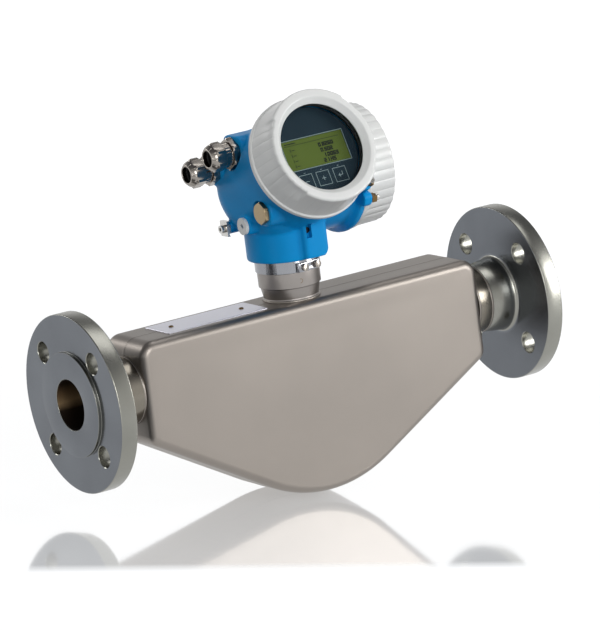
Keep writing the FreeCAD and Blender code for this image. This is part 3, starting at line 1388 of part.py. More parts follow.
make_board("amplifier_board", "amplifier_level", "board_small")
make_board("output_board", "io_level", "board_large")
make_posts()
make_terminals()
make_gland("gland_a", "bowl_end", "entry_a_y", "entry_a_z")
make_gland("gland_b", "entry_b_end", "entry_b_y", "entry_b_z")
make_left_fittings()
make_clamp("front_clamp", in_display, "front_lug_angle", "front_shoulder")
make_clamp("terminal_clamp", in_wiring, "end_lug_angle", "end_shoulder")

doc.recompute()
for item in doc.Objects:
    if "Invalid" in item.State or "Error" in item.State:
        raise RuntimeError("%s failed: %s" % (item.Name, item.State))
for item in nodes:
    if item.Shape.isNull() or not item.Shape.isValid():
        raise RuntimeError(item.Label + " has no valid shape")

os.makedirs("parts", exist_ok=True)
for item in nodes:
    item.Shape.exportStep(os.path.join("parts", item.Label + ".step"))
print(len(nodes), "sub-parts written")
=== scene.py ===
import json
import math

import bmesh
import bpy
import numpy as np
from mathutils import Matrix, Vector


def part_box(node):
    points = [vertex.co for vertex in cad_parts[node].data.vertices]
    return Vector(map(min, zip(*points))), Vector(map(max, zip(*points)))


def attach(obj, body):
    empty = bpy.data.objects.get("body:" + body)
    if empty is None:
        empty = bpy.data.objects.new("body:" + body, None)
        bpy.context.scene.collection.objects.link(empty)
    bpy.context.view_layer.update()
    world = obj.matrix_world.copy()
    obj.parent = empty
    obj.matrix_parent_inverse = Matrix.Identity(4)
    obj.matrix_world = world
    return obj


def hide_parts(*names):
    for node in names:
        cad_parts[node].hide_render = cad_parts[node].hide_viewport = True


# Coriolis flow meter in a studio. Shapes are worked out in millimetres and stored in metres.
mm = 0.001
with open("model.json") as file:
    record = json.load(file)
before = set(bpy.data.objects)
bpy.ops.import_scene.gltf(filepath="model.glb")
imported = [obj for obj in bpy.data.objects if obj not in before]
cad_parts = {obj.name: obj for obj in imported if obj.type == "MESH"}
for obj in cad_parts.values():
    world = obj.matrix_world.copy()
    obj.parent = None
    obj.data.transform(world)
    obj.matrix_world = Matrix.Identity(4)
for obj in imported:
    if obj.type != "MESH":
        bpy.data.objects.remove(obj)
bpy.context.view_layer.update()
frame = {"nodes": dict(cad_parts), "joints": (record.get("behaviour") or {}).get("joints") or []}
nodes = frame["nodes"]
joints = {joint["name"]: joint for joint in frame["joints"]}
print("frame loaded:", len(nodes), "nodes")


# Places of the pieces, read from the frame

def makeFrame(origin, zAxis, xAxis):
    # a place: its origin and its axes as columns, with z and x given and y = z cross x
    z = np.array(zAxis, float)
    z = z / np.linalg.norm(z)
    x = np.array(xAxis, float)
    return np.array(origin, float), np.column_stack([x, np.cross(z, x), z])


def nodeBox(name):
    # lowest and highest corner of a CAD node, in millimetres
    low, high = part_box(name)
    return np.array(low) / mm, np.array(high) / mm


pipeStart, pipeEnd = nodeBox("inlet_flange")[0][0], nodeBox("outlet_flange")[1][0]
middle = (pipeStart + pipeEnd) / 2
headPoint = np.array(joints["front_cover_turn"]["pos_m"]) / mm
displayNormal = joints["front_cover_turn"]["axis"]
inletFrame = makeFrame((pipeStart, 0, 0), (1, 0, 0), (0, 0, -1))
outletFrame = makeFrame((pipeEnd, 0, 0), (-1, 0, 0), (0, 0, 1))
neckFrame = makeFrame((middle, 0, 0), (0, 0, 1), (1, 0, 0))
displayFrame = makeFrame(headPoint, displayNormal, (1, 0, 0))
wiringFrame = makeFrame(headPoint, (1, 0, 0), (0, 0, -1))


def entryFrame(origin):
    # a place on the head's left end: z points out to the left, x upwards
    return makeFrame(origin, (-1, 0, 0), (0, 0, 1))


def fittingFrame(node, headHeight):
    # frame on the boss face under a fitting's head, from the fitting's own box
    low, high = nodeBox(node)
    return entryFrame((low[0] + headHeight, (low[1] + high[1]) / 2, (low[2] + high[2]) / 2))


# Surfaces

def gridQuads(rows, columns, loop):
    # quads between neighbouring rows of a grid of points; with loop the last column meets the first
    i, j = np.meshgrid(np.arange(rows - 1), np.arange(columns if loop else columns - 1), indexing="ij")
    following = (j + 1) % columns
    quads = np.stack([i * columns + j, i * columns + following,
                      (i + 1) * columns + following, (i + 1) * columns + j], axis=-1)
    return quads.reshape(-1, 4)


def gridBlock(points, loop=True):
    # points has the shape rows x columns x 3
    rows, columns = points.shape[:2]
    return points.reshape(-1, 3), gridQuads(rows, columns, loop)


def roundedLine(corners, steps=5, closed=False):
    # a line through corners (x, y, radius); each corner becomes an arc that touches both of its sides
    points = []
    total = len(corners)
    for index, corner in enumerate(corners):
        here = np.array(corner[:2], float)
        radius = corner[2] if len(corner) > 2 else 0
        if radius == 0 or (not closed and index in (0, total - 1)):
            points.append(here[None])
            continue
        before = np.array(corners[index - 1][:2], float) - here
        after = np.array(corners[(index + 1) % total][:2], float) - here
        before /= np.linalg.norm(before)
        after /= np.linalg.norm(after)
        half = math.acos(np.clip(before @ after, -1, 1)) / 2
        centre = here + (before + after) / np.linalg.norm(before + after) * radius / math.sin(half)
        start = here + before * radius / math.tan(half) - centre
        end = here + after * radius / math.tan(half) - centre
        share = np.linspace(0, 1, steps + 1)[:, None]
        sweep = math.pi - 2 * half
        arc = (start * np.sin((1 - share) * sweep) + end * np.sin(share * sweep)) / math.sin(sweep)
        points.append(centre + arc)
    return np.vstack(points)


def latheBlock(profile, segments=128, radiusOf=None):
    # the point at angle t and place s is (r cos t, r sin t, z), with (r, z) from the profile at s;
    # radiusOf(r, z, t) may change r round the circle
    angle = np.arange(segments) * 2 * math.pi / segments
    radius = np.repeat(profile[:, :1], segments, axis=1)
    height = np.repeat(profile[:, 1:2], segments, axis=1)
    if radiusOf:
        radius = radiusOf(radius, height, angle[None, :])
    return gridBlock(np.stack([radius * np.cos(angle), radius * np.sin(angle), height], axis=-1))


def hexRadius(flats):
    # distance from the axis to a hexagon's side in the direction t: half the flats over cos of the
    # angle to the side's normal; never more than the turned radius, which chamfers the corners
    def radiusOf(radius, height, angle):
        side = np.mod(angle, math.pi / 3) - math.pi / 6
        return np.minimum(radius, flats / 2 / np.cos(side) + 0 * radius)
    return radiusOf


def holedRing(inner, outer, level, look, steps):
    # flat ring from inner to outer radius with round holes: in each sector the line from a hole's rim
    # to the sector's border is straight in radius and angle
    count = look["holes"]
    half = math.pi / count
    share = np.arange(steps) / steps
    borderR = np.concatenate([np.full(steps, outer), outer + (inner - outer) * share,
                              np.full(steps, inner), inner + (outer - inner) * share])
    borderT = np.concatenate([-half + 2 * half * share, np.full(steps, half),
                              half - 2 * half * share, np.full(steps, -half)])
    turn = -math.pi / 4 + np.arange(4 * steps) * 2 * math.pi / (4 * steps)
    x = look["holeCircle"] / 2 + look["holeRim"] * np.cos(turn)
    y = look["holeRim"] * np.sin(turn)
    holeR, holeT = np.hypot(x, y), np.arctan2(y, x)
    blend = np.linspace(0, 1, 7)[:, None]
    radius = holeR * (1 - blend) + borderR * blend
    angle = holeT * (1 - blend) + borderT * blend
    blocks = []
    for index in range(count):
        t = angle + half + index * 2 * half
        blocks.append(gridBlock(np.stack([radius * np.cos(t), radius * np.sin(t), 0 * t + level], axis=-1)))
    return blocks


def joinBlocks(blocks):
    # one list of points and faces from several, with the faces' numbers moved along
    points, faces, start = [], [], 0
    for block, quads in blocks:
        points.append(block)
        faces.extend((np.asarray(quads) + start).tolist())
        start += len(block)
    return np.vstack(points), faces


def toShared(points, place):
    # millimetres in a place's own axes to metres in the shared frame
    origin, axes = place
    return (np.asarray(points) @ axes.T + origin) * mm


def cleanMesh(mesh, merge=0.0004 * mm):
    # welds equal points, drops faces without area and points every face outwards
    work = bmesh.new()
    work.from_mesh(mesh)
    bmesh.ops.remove_doubles(work, verts=work.verts, dist=merge)
    bmesh.ops.dissolve_degenerate(work, edges=work.edges, dist=merge)
    bmesh.ops.recalc_face_normals(work, faces=work.faces)
    work.to_mesh(mesh)
    work.free()


def smoothMesh(mesh, degrees=32):
    # smooth shading, broken at edges where the faces turn by more than the angle
    mesh.shade_smooth()
    mesh.set_sharp_from_angle(angle=math.radians(degrees))


def makeObject(name, blocks, place, degrees=32):
    # one object from several blocks of points and faces, which are given in the place's own axes
    points, faces = joinBlocks(blocks)
    mesh = bpy.data.meshes.new(name)
    mesh.from_pydata(toShared(points, place).tolist(), [], faces)
    cleanMesh(mesh)
    smoothMesh(mesh, degrees)
    item = bpy.data.objects.new(name, mesh)
    bpy.context.scene.collection.objects.link(item)
    return item


def nodeCopy(name, node, bevel=0.0, degrees=32):
    # a merged copy of a CAD node, with its sharp edges broken
    mesh = nodes[node].data.copy()
    mesh.name = name
    cleanMesh(mesh, 0.002 * mm)
    smoothMesh(mesh, degrees)
    item = bpy.data.objects.new(name, mesh)
    bpy.context.scene.collection.objects.link(item)
    if bevel:
        edge = item.modifiers.new("edge", "BEVEL")
        edge.width = bevel * mm
        edge.segments = 2
        edge.limit_method = "ANGLE"
        edge.angle_limit = math.radians(40)
        edge.harden_normals = True
        applyModifiers(item)
    return item


def applyModifiers(item):
    # the mesh becomes what its modifiers make of it
    bpy.context.view_layer.update()
    graph = bpy.context.evaluated_depsgraph_get()
    mesh = bpy.data.meshes.new_from_object(item.evaluated_get(graph))
    item.modifiers.clear()
    item.data = mesh


def cutAway(item, tools):
    # boolean difference, one tool after another; the tools are removed
    for tool in tools:
        cut = item.modifiers.new("cut", "BOOLEAN")
        cut.operation = "DIFFERENCE"
        cut.solver = "EXACT"
        cut.object = tool
        applyModifiers(item)
        bpy.data.objects.remove(tool)


def finish(item, body, slot, material, *replaced):
    # one material, the body it moves with and the CAD nodes it takes the place of; the slot argument is not
    # used
    item.data.materials.clear()
    item.data.materials.append(material)
    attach(item, body)
    if replaced:
        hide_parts(*replaced)
    return item


# Materials

# sizes in millimetres of the patterns that several finishes share, drawn coarse enough to show
pattern = {"grain": 1.43, "speck": 1.11, "dent": 71.4, "coatCloud": 16.7, "stain": 16.7, "smear": 25}
wavePeriod = 0.31  # metres from ring to ring of a wave texture whose scale is 1


def tone(text):
    # sRGB hex to linear: c / 12.92 below 0.04045, else ((c + 0.055) / 1.055) to the power 2.4
    values = [int(text[i:i + 2], 16) / 255 for i in (1, 3, 5)]
    linear = [v / 12.92 if v <= 0.04045 else ((v + 0.055) / 1.055) ** 2.4 for v in values]
    return (*linear, 1.0)


def addNode(tree, kind, sockets=None, **settings):
    # a shader node with its settings; a socket takes a value or another node's output
    node = tree.nodes.new("ShaderNode" + kind)
    for name, value in settings.items():
        setattr(node, name, value)
    for name, value in (sockets or {}).items():
        if isinstance(value, bpy.types.NodeSocket):
            tree.links.new(value, node.inputs[name])
        else:
            node.inputs[name].default_value = value
    return node


def newMaterial(name):
    # an empty node material and its tree
    material = bpy.data.materials.new(name)
    material.use_nodes = True
    material.node_tree.nodes.clear()
    return material, material.node_tree


def closeMaterial(tree, shader):
    # the shader goes to the surface
    addNode(tree, "OutputMaterial", {"Surface": shader.outputs[0]})


def perMetre(size):
    # scale of a pattern on Object coordinates from its size in millimetres
    return 1 / (size * mm)


def colourSpread(tree, place, size, dark, light, detail=4.0):
    # a slow change between two colours, in clouds of a size in millimetres
    noise = addNode(tree, "TexNoise", {"Vector": place, "Scale": perMetre(size), "Detail": detail})
    mix = addNode(tree, "Mix", {"Factor": noise.outputs["Fac"]}, data_type="RGBA")
    mix.inputs[6].default_value = tone(dark)
    mix.inputs[7].default_value = tone(light)
    return mix.outputs[2]


def rangeOf(tree, value, low, high, fromLow=0.0, fromHigh=1.0):
    # low at fromLow, high at fromHigh, straight in between and level outside
    spread = addNode(tree, "MapRange", {"Value": value, "From Min": fromLow, "From Max": fromHigh,
                                        "To Min": low, "To Max": high})
    return spread.outputs["Result"]


def objectPlace(tree, origin=None):
    # Object coordinates, centred on a point in metres where a pattern runs round it
    place = addNode(tree, "TexCoord").outputs["Object"]
    if origin is None:
        return place
    settings = {"Vector": place, "Location": tuple(-v for v in origin)}
    return addNode(tree, "Mapping", settings, vector_type="POINT").outputs["Vector"]


def turnedSteel(name, look, axis, origin):
    # stainless steel as it leaves the lathe: rings of tool marks that spread highlights across them
    material, tree = newMaterial(name)
    place = objectPlace(tree, origin)
    colour = colourSpread(tree, place, look["cloud"], look["dark"], look["light"])
    if "shadedFaceDark" in look:
        # painted shade: the faced ends get a darker, bluer colour than the turned rim, mixed in where the
        # surface looks along the axis
        faced = colourSpread(tree, place, look["cloud"], look["shadedFaceDark"], look["shadedFaceLight"])
        normal = addNode(tree, "TexCoord").outputs["Normal"]
        side = addNode(tree, "SeparateXYZ", {"Vector": normal}).outputs[axis]
        flat = addNode(tree, "Math", {0: side}, operation="ABSOLUTE").outputs[0]
        both = addNode(tree, "Mix", {0: rangeOf(tree, flat, 0.0, 1.0, 0.8, 0.95), 6: colour, 7: faced},
                       data_type="RGBA")
        colour = both.outputs[2]
    rings = addNode(tree, "TexWave", {"Vector": place, "Scale": wavePeriod / (look["pitch"] * mm),
                                      "Distortion": 0.6, "Detail": 2.0},
                    wave_type="RINGS", rings_direction=axis)
    grain = addNode(tree, "TexNoise", {"Vector": place, "Scale": perMetre(pattern["grain"]), "Detail": 3.0})
    rough = rangeOf(tree, grain.outputs["Fac"], look["smooth"], look["rough"])
    bump = addNode(tree, "Bump", {"Height": rings.outputs["Fac"], "Strength": look["marks"],
                                  "Distance": look["depth"] * mm})
    tangent = addNode(tree, "Tangent", direction_type="RADIAL", axis=axis)
    shader = addNode(tree, "BsdfPrincipled", {"Base Color": colour, "Metallic": 1.0, "Roughness": rough,
                                              "Anisotropic": look["spread"], "Tangent": tangent.outputs[0],
                                              "Normal": bump.outputs["Normal"]})
    closeMaterial(tree, shader)
    return material


def sheetSteel(name, look):
    # stainless sheet, glass-bead blasted and pickled: an even satin with a fine grit and slow waves
    material, tree = newMaterial(name)
    place = objectPlace(tree)
    colour = colourSpread(tree, place, look["cloud"], look["dark"], look["light"], 6.0)
    grit = addNode(tree, "TexNoise", {"Vector": place, "Scale": perMetre(look["grit"]), "Detail": 5.0,
                                      "Roughness": 0.6})
    dents = addNode(tree, "TexNoise", {"Vector": place, "Scale": perMetre(pattern["dent"]), "Detail": 1.0})
    rough = rangeOf(tree, grit.outputs["Fac"], look["smooth"], look["rough"])
    slow = addNode(tree, "Bump", {"Height": dents.outputs["Fac"], "Strength": 0.25, "Distance": 0.6 * mm})
    fine = addNode(tree, "Bump", {"Height": grit.outputs["Fac"], "Strength": look["marks"],
                                  "Distance": 0.05 * mm, "Normal": slow.outputs["Normal"]})
    shader = addNode(tree, "BsdfPrincipled", {"Base Color": colour, "Metallic": 1.0, "Roughness": rough,
                                              "Normal": fine.outputs["Normal"]})
    closeMaterial(tree, shader)
    return material


def stainedBore(name, look):
    # scaled pipe wall: from the lowest line to the highest dark, brown and dark again, with a slow cloud; the
    # dark ends are painted shade, and the brown band is painted light over the scale's brown where light
    # reaches in
    material, tree = newMaterial(name)
    place = objectPlace(tree)
    height = addNode(tree, "SeparateXYZ", {"Vector": place}).outputs["Z"]
    cloud = addNode(tree, "TexNoise", {"Vector": place, "Scale": perMetre(pattern["stain"]), "Detail": 3.0})
    shift = rangeOf(tree, cloud.outputs["Fac"], -look["shift"] * mm, look["shift"] * mm)
    level = addNode(tree, "Math", {0: height, 1: shift}, operation="ADD")
    share = rangeOf(tree, level.outputs[0], 0.0, 1.0, -look["reach"] * mm, look["reach"] * mm)
    ramp = addNode(tree, "ValToRGB", {"Fac": share})
    elements = ramp.color_ramp.elements
    for position, colour in look["bands"][1:-1]:
        elements.new(position).color = tone(colour)
    elements[0].color, elements[-1].color = tone(look["bands"][0][1]), tone(look["bands"][-1][1])
    rough = rangeOf(tree, cloud.outputs["Fac"], look["smooth"], look["rough"])
    shader = addNode(tree, "BsdfPrincipled", {"Base Color": ramp.outputs["Color"], "Metallic": look["metal"],
                                              "Roughness": rough})
    closeMaterial(tree, shader)
    return material


def powderCoat(name, look):
    # smooth powder coat on a casting: coloured plastic film with a faint orange peel and a soft shine
    material, tree = newMaterial(name)
    place = objectPlace(tree)
    colour = colourSpread(tree, place, pattern["coatCloud"], look["dark"], look["light"])
    peel = addNode(tree, "TexNoise", {"Vector": place, "Scale": perMetre(look["peel"]), "Detail": 2.0})
    speck = addNode(tree, "TexNoise", {"Vector": place, "Scale": perMetre(pattern["speck"]), "Detail": 2.0})
    rough = rangeOf(tree, speck.outputs["Fac"], look["smooth"], look["rough"])
    bump = addNode(tree, "Bump", {"Height": peel.outputs["Fac"], "Strength": 0.12, "Distance": 0.12 * mm})
    shader = addNode(tree, "BsdfPrincipled", {"Base Color": colour, "Roughness": rough, "IOR": 1.5,
                                              "Specular IOR Level": look["gloss"],
                                              "Coat Weight": look["coat"], "Coat Roughness": 0.12,
                                              "Normal": bump.outputs["Normal"]})
    closeMaterial(tree, shader)
    return material


def plainMetal(name, look):
    # a machined or plated metal: fine scratches in every direction
    material, tree = newMaterial(name)
    place = objectPlace(tree)
    colour = colourSpread(tree, place, look["cloud"], look["dark"], look["light"])
    scratch = addNode(tree, "TexNoise", {"Vector": place, "Scale": perMetre(look["grit"]), "Detail": 6.0,
                                         "Distortion": 1.0})
    rough = rangeOf(tree, scratch.outputs["Fac"], look["smooth"], look["rough"])
    bump = addNode(tree, "Bump", {"Height": scratch.outputs["Fac"], "Strength": 0.15, "Distance": 0.05 * mm})
    shader = addNode(tree, "BsdfPrincipled", {"Base Color": colour, "Metallic": 1.0, "Roughness": rough,
                                              "Normal": bump.outputs["Normal"]})
    closeMaterial(tree, shader)
    return material


def mouldedPlastic(name, look):
    # moulded or lacquered plastic, with a fine spark-eroded grain
    material, tree = newMaterial(name)
    place = objectPlace(tree)
    colour = colourSpread(tree, place, look["cloud"], look["dark"], look["light"])
    grain = addNode(tree, "TexNoise", {"Vector": place, "Scale": perMetre(look["grit"]), "Detail": 3.0})
    rough = rangeOf(tree, grain.outputs["Fac"], look["smooth"], look["rough"])
    bump = addNode(tree, "Bump", {"Height": grain.outputs["Fac"], "Strength": 0.1, "Distance": 0.04 * mm})
    shader = addNode(tree, "BsdfPrincipled", {"Base Color": colour, "Roughness": rough, "IOR": look["ior"],
                                              "Normal": bump.outputs["Normal"]})
    closeMaterial(tree, shader)
    return material


def clearGlass(name, look):
    # flat toughened glass: clear for what lies behind it, with a thin reflection over it
    material, tree = newMaterial(name)
    place = objectPlace(tree)
    smear = addNode(tree, "TexNoise", {"Vector": place, "Scale": perMetre(pattern["smear"]), "Detail": 3.0})
    rough = rangeOf(tree, smear.outputs["Fac"], 0.0, look["rough"])
    clear = addNode(tree, "BsdfTransparent", {"Color": tone(look["tint"])})
    gloss = addNode(tree, "BsdfGlossy", {"Color": tone("#ffffff"), "Roughness": rough})
    edge = addNode(tree, "Fresnel", {"IOR": look["ior"]})
    mix = addNode(tree, "MixShader", {0: edge.outputs[0], 1: clear.outputs[0], 2: gloss.outputs[0]})
    closeMaterial(tree, mix)
    return material


# stainless steel, turned and faced: light is drawn out across fine rings, and the faces carry painted shade,
# darker than the rims
flangeSteel = {"dark": "#808079", "light": "#93928b", "shadedFaceDark": "#616469", "shadedFaceLight": "#71757a",
               "cloud": 33.3, "pitch": 1.1, "smooth": 0.2, "rough": 0.28, "marks": 0.12, "depth": 0.04,
               "spread": 0.85}
steelPipe = turnedSteel("turnedFlangeSteel", flangeSteel, "X", (0, 0, 0))

# stainless tube, turned with a coarser feed: satin, in soft upright bands of light and dark
neckSteel = {"dark": "#827d79", "light": "#96918d", "cloud": 25, "pitch": 0.7, "smooth": 0.3, "rough": 0.42,
             "marks": 0.2, "depth": 0.03, "spread": 0.4}
neckTurned = turnedSteel("satinNeckSteel", neckSteel, "Z", (middle * mm, 0, 0))

# stainless ring, fine turned and polished: bright, with narrow and clear highlights
ringSteel = {"dark": "#87888c", "light": "#9b9da1", "cloud": 25, "pitch": 0.5, "smooth": 0.15, "rough": 0.23,
             "marks": 0.1, "depth": 0.02, "spread": 0.3}
ringTurned = turnedSteel("polishedRingSteel", ringSteel, "Z", (middle * mm, 0, 0))

# stainless pipe, turned between the welds: warm and shiny, with streaks of light along the pipe
nozzleSteel = {"dark": "#726d62", "light": "#89837a", "cloud": 25, "pitch": 0.9, "smooth": 0.18,
               "rough": 0.26, "marks": 0.08, "depth": 0.03, "spread": 0.5}
nozzleTurned = turnedSteel("turnedNozzleSteel", nozzleSteel, "X", (0, 0, 0))

# stainless sheet, blasted and pickled: an even warm satin without a direction, where lamps are a soft glow
shellSteel = {"dark": "#86807a", "light": "#958e87", "cloud": 111, "grit": 0.7, "smooth": 0.36, "rough": 0.5,
              "marks": 0.25}
pickledSheet = sheetSteel("pickledSheetSteel", shellSteel)

# ground and brushed weld: a little darker and coarser than the sheet beside it, so that it shows as a line
weldSteel = {"dark": "#7d7771", "light": "#938d86", "cloud": 16.7, "grit": 0.9, "smooth": 0.3, "rough": 0.5,
             "marks": 0.5}
weldBead = sheetSteel("groundWeldSteel", weldSteel)

# bare stainless sheet of the nameplate, brushed: cool and much paler than the body, nearly white from above
plateSteel = {"dark": "#c9c9d2", "light": "#d9d9e2", "cloud": 33.3, "grit": 1.5, "smooth": 0.3,
              "rough": 0.42}
barePlate = plainMetal("brushedNameplateSteel", plateSteel)

# nickel-plated brass: small sharp glints on a dark warm metal
nickelPlate = {"dark": "#7f7a74", "light": "#a09a93", "cloud": 12.5, "grit": 1.2, "smooth": 0.16,
               "rough": 0.28}
platedBrass = plainMetal("nickelPlatedBrass", nickelPlate)

# bare bronze, machined: a dull yellow brown with a soft sheen
bronzeMetal = {"dark": "#8a7a5f", "light": "#a08f73", "cloud": 16.7, "grit": 1.0, "smooth": 0.3,
               "rough": 0.45}
bareBronze = plainMetal("bareBronze", bronzeMetal)

# small machined stainless parts: light and cool, with crisp glints
brightSteel = {"dark": "#b5b3af", "light": "#cfcdc9", "cloud": 12.5, "grit": 1.0, "smooth": 0.18,
               "rough": 0.32}
bareSteel = plainMetal("machinedStainless", brightSteel)

# oiled brass of the claws, the rivets and the mark on the neck: dark brown with a dull gleam
clawMetal = {"dark": "#5e4a2e", "light": "#7b6340", "cloud": 11.1, "grit": 0.8, "smooth": 0.35,
             "rough": 0.55}
darkClaw = plainMetal("oiledClawBrass", clawMetal)

# screw steel in black oxide: nearly black, with a faint satin edge
blackOxide = {"dark": "#16181c", "light": "#24262b", "cloud": 12.5, "grit": 0.9, "smooth": 0.35,
              "rough": 0.5}
blackScrew = plainMetal("blackOxideScrewSteel", blackOxide)

# scaled wall of the pipe's bore: painted shade, nearly black, above and below, with a brown band of painted
# light where light reaches in.
# The bands stand at shares of the height from the lowest line to the highest, and shift (mm) blurs them
boreSteel = {"reach": 21.5, "shift": 2.0, "smooth": 0.35, "rough": 0.5, "metal": 0.4,
             "bands": ((0.0, "#0d0a08"), (0.3, "#2a1e14"), (0.46, "#a58a66"), (0.62, "#82684a"),
                       (0.84, "#2e2116"), (1.0, "#130e0a"))}
scaledBore = stainedBore("scaledBoreSteelPaintedShade", boreSteel)

# blue powder coat on the aluminium casting: a full, even colour with a broad, weak shine
blueCoat = {"dark": "#0087c8", "light": "#0091d3", "peel": 2.2, "smooth": 0.34, "rough": 0.44, "gloss": 0.15,
            "coat": 0.0}
bluePaint = powderCoat("blueHousingPowderCoat", blueCoat)

# pale grey powder coat of the covers: light and even, glossier than the housing, so that edges catch light
greyCoat = {"dark": "#d0d1d0", "light": "#d9dad8", "peel": 2.2, "smooth": 0.32, "rough": 0.42, "gloss": 0.4,
            "coat": 0.3}
greyPaint = powderCoat("paleCoverPowderCoat", greyCoat)

# printed polycarbonate film: a flat blue black with hardly any shine of its own
blackPanel = {"dark": "#22303c", "light": "#2c3c4a", "cloud": 33.3, "grit": 0.6, "smooth": 0.3, "rough": 0.4,
              "ior": 1.25}
panelFilm = mouldedPlastic("printedPanelFilm", blackPanel)

# moulded black polyamide: dull and dark, so that the chamber's wall falls back
carrierPlastic = {"dark": "#1c1e20", "light": "#26282b", "cloud": 33.3, "grit": 0.6, "smooth": 0.5,
                  "rough": 0.6, "ior": 1.5}
carrierMould = mouldedPlastic("blackCarrierPlastic", carrierPlastic)

# reflective film of the liquid crystal screen: a flat olive green
screenLayer = {"dark": "#667134", "light": "#6f7b3b", "cloud": 25, "grit": 0.5, "smooth": 0.3, "rough": 0.4,
               "ior": 1.2}
screenFilm = mouldedPlastic("reflectiveScreenFilm", screenLayer)

# pale screen print on the panel: thin flat lines of a cool grey white
printWhite = {"dark": "#aab7bc", "light": "#b8c4c9", "cloud": 11.1, "grit": 0.4, "smooth": 0.4, "rough": 0.5,
              "ior": 1.45}
whitePrint = mouldedPlastic("whitePanelPrint", printWhite)

# darkened segments of the liquid crystal: flat and nearly black on the olive film
screenInk = {"dark": "#070a04", "light": "#0c1007", "cloud": 11.1, "grit": 0.4, "smooth": 0.4, "rough": 0.5,
             "ior": 1.45}
darkInk = mouldedPlastic("darkScreenSegments", screenInk)

# moulded nitrile rubber: black and matt
sealRubber = {"dark": "#121212", "light": "#1c1c1c", "cloud": 11.1, "grit": 0.5, "smooth": 0.6,
              "rough": 0.75, "ior": 1.5}
blackRubber = mouldedPlastic("nitrileSealRubber", sealRubber)

# solder lacquer on glass-fibre board: deep green with a soft gloss
boardLacquer = {"dark": "#0e4a2c", "light": "#176239", "cloud": 8.3, "grit": 0.8, "smooth": 0.3,
                "rough": 0.45, "ior": 1.5}
greenBoard = mouldedPlastic("lacquerOnGlassFibreBoard", boardLacquer)

# moulded polyamide of the terminals: dark green and matt
terminalPlastic = {"dark": "#1c5138", "light": "#256a49", "cloud": 16.7, "grit": 0.6, "smooth": 0.45,
                   "rough": 0.55, "ior": 1.5}
greenTerminal = mouldedPlastic("polyamideTerminalBlock", terminalPlastic)

# sintered ceramic of the feedthrough: a chalky off-white
ceramicWhite = {"dark": "#c9c2b4", "light": "#ddd6c8", "cloud": 12.5, "grit": 0.7, "smooth": 0.4,
                "rough": 0.55, "ior": 1.6}
sealedCeramic = mouldedPlastic("feedthroughCeramic", ceramicWhite)

# toughened flat glass: clear, and seen only by a weak reflection that grows where the glass is looked along
windowGlass = {"tint": "#f1f5f4", "rough": 0.06, "ior": 1.12}
toughGlass = clearGlass("toughenedWindowGlass", windowGlass)
print("materials made:", len(bpy.data.materials))


# Flanges and nozzles

flangeLook = {
    "rim": 75, "thick": 18, "raised": 44, "step": 3, "bore": 21.55, "hub": 31, "hubTip": 28.8, "hubEnd": 42,
    "taper": 17, "root": 4, "chamfer": 1.2, "gap": 0.8, "backGap": 0.3,
    "holes": 4, "holeCircle": 110, "hole": 9, "holeRim": 9.5, "sides": 24,
}


def makeFlange(name, place, node):
    # profiles turned round the pipe axis, a holed ring on the front and on the back, and the holes' walls
    look = flangeLook
    steps = look["sides"]
    front, back = look["raised"] + look["gap"], look["hub"] + look["root"] + look["backGap"]
    rim = look["rim"] - look["chamfer"]
    segments = steps * look["holes"]
    inner = roundedLine([
        (front, look["step"]), (look["raised"], look["step"], 0.3), (look["raised"], 0, 0.35),
        (look["bore"], 0, 0.5), (look["bore"], look["hubEnd"], 0.2), (look["hubTip"], look["hubEnd"], 0.3),
        (look["hub"], look["hubEnd"] - look["taper"], 20), (look["hub"], look["thick"], look["root"]),
        (back, look["thick"]),
    ], 6)
    outer = roundedLine([
        (rim, look["step"]), (look["rim"], look["step"], 0.9), (look["rim"], look["thick"], 0.9),
        (rim, look["thick"]),
    ], 5)
    blocks = [latheBlock(inner, segments), latheBlock(outer, segments)]
    blocks += holedRing(front, rim, look["step"], look, steps)
    blocks += holedRing(back, rim, look["thick"], look, steps)
    turn = -math.pi / 4 + np.arange(4 * steps) * 2 * math.pi / (4 * steps)
    lip = look["holeRim"] - look["hole"]
    wall = [(look["holeRim"], look["step"]), (look["hole"], look["step"] + lip),
            (look["hole"], look["thick"] - lip), (look["holeRim"], look["thick"])]
    for index in range(look["holes"]):
        centre = (2 * index + 1) * math.pi / look["holes"]
        rings = []
        for radius, level in wall:
            x = look["holeCircle"] / 2 + radius * np.cos(turn)
            y = radius * np.sin(turn)
            rings.append(np.stack([x * math.cos(centre) - y * math.sin(centre),
                                   x * math.sin(centre) + y * math.cos(centre), 0 * x + level], axis=-1))
        blocks.append(gridBlock(np.array(rings)))
    item = makeObject(name, blocks, place)
    return finish(item, "sensor", "flange_steel", steelPipe, node)


makeFlange("inletFlange", inletFrame, "inlet_flange")
makeFlange("outletFlange", outletFrame, "outlet_flange")

nozzleLook = {"radius": 28.5, "weldAt": 42, "weldRaise": 0.2, "shellAt": 55.5, "weldBack": 0.7,
              "skin": 0.06, "wall": 0.5}
beadLook = {"bead": 2.0, "rise": 0.35, "sunk": 0.05, "ripples": 60, "ripple": 0.12}
boreLook = {"gap": 0.03, "thick": 0.3, "from": 0.8, "short": 0.5}


def makeBead(name, place, radius, level, look):
    # a weld bead: a low half ellipse along the circle whose height ripples with the torch's steps
    across = np.linspace(-1, 1, 11)
    angle = np.arange(360) * 2 * math.pi / 360
    ripple = 1 + look["ripple"] * np.abs(np.sin(angle[None, :] * look["ripples"] / 2))
    lift = np.sqrt(np.clip(1 - across ** 2, 0, 1))[:, None] * look["rise"] * ripple - look["sunk"]
    reach = radius + lift
    height = level + across[:, None] * look["bead"] / 2 + 0 * angle[None, :]
    points = np.stack([reach * np.cos(angle), reach * np.sin(angle), height], axis=-1)
    closed = np.concatenate([points, points[:1]])
    item = makeObject(name, [gridBlock(closed)], place, 60)
    return finish(item, "sensor", "pipe_steel", weldBead)


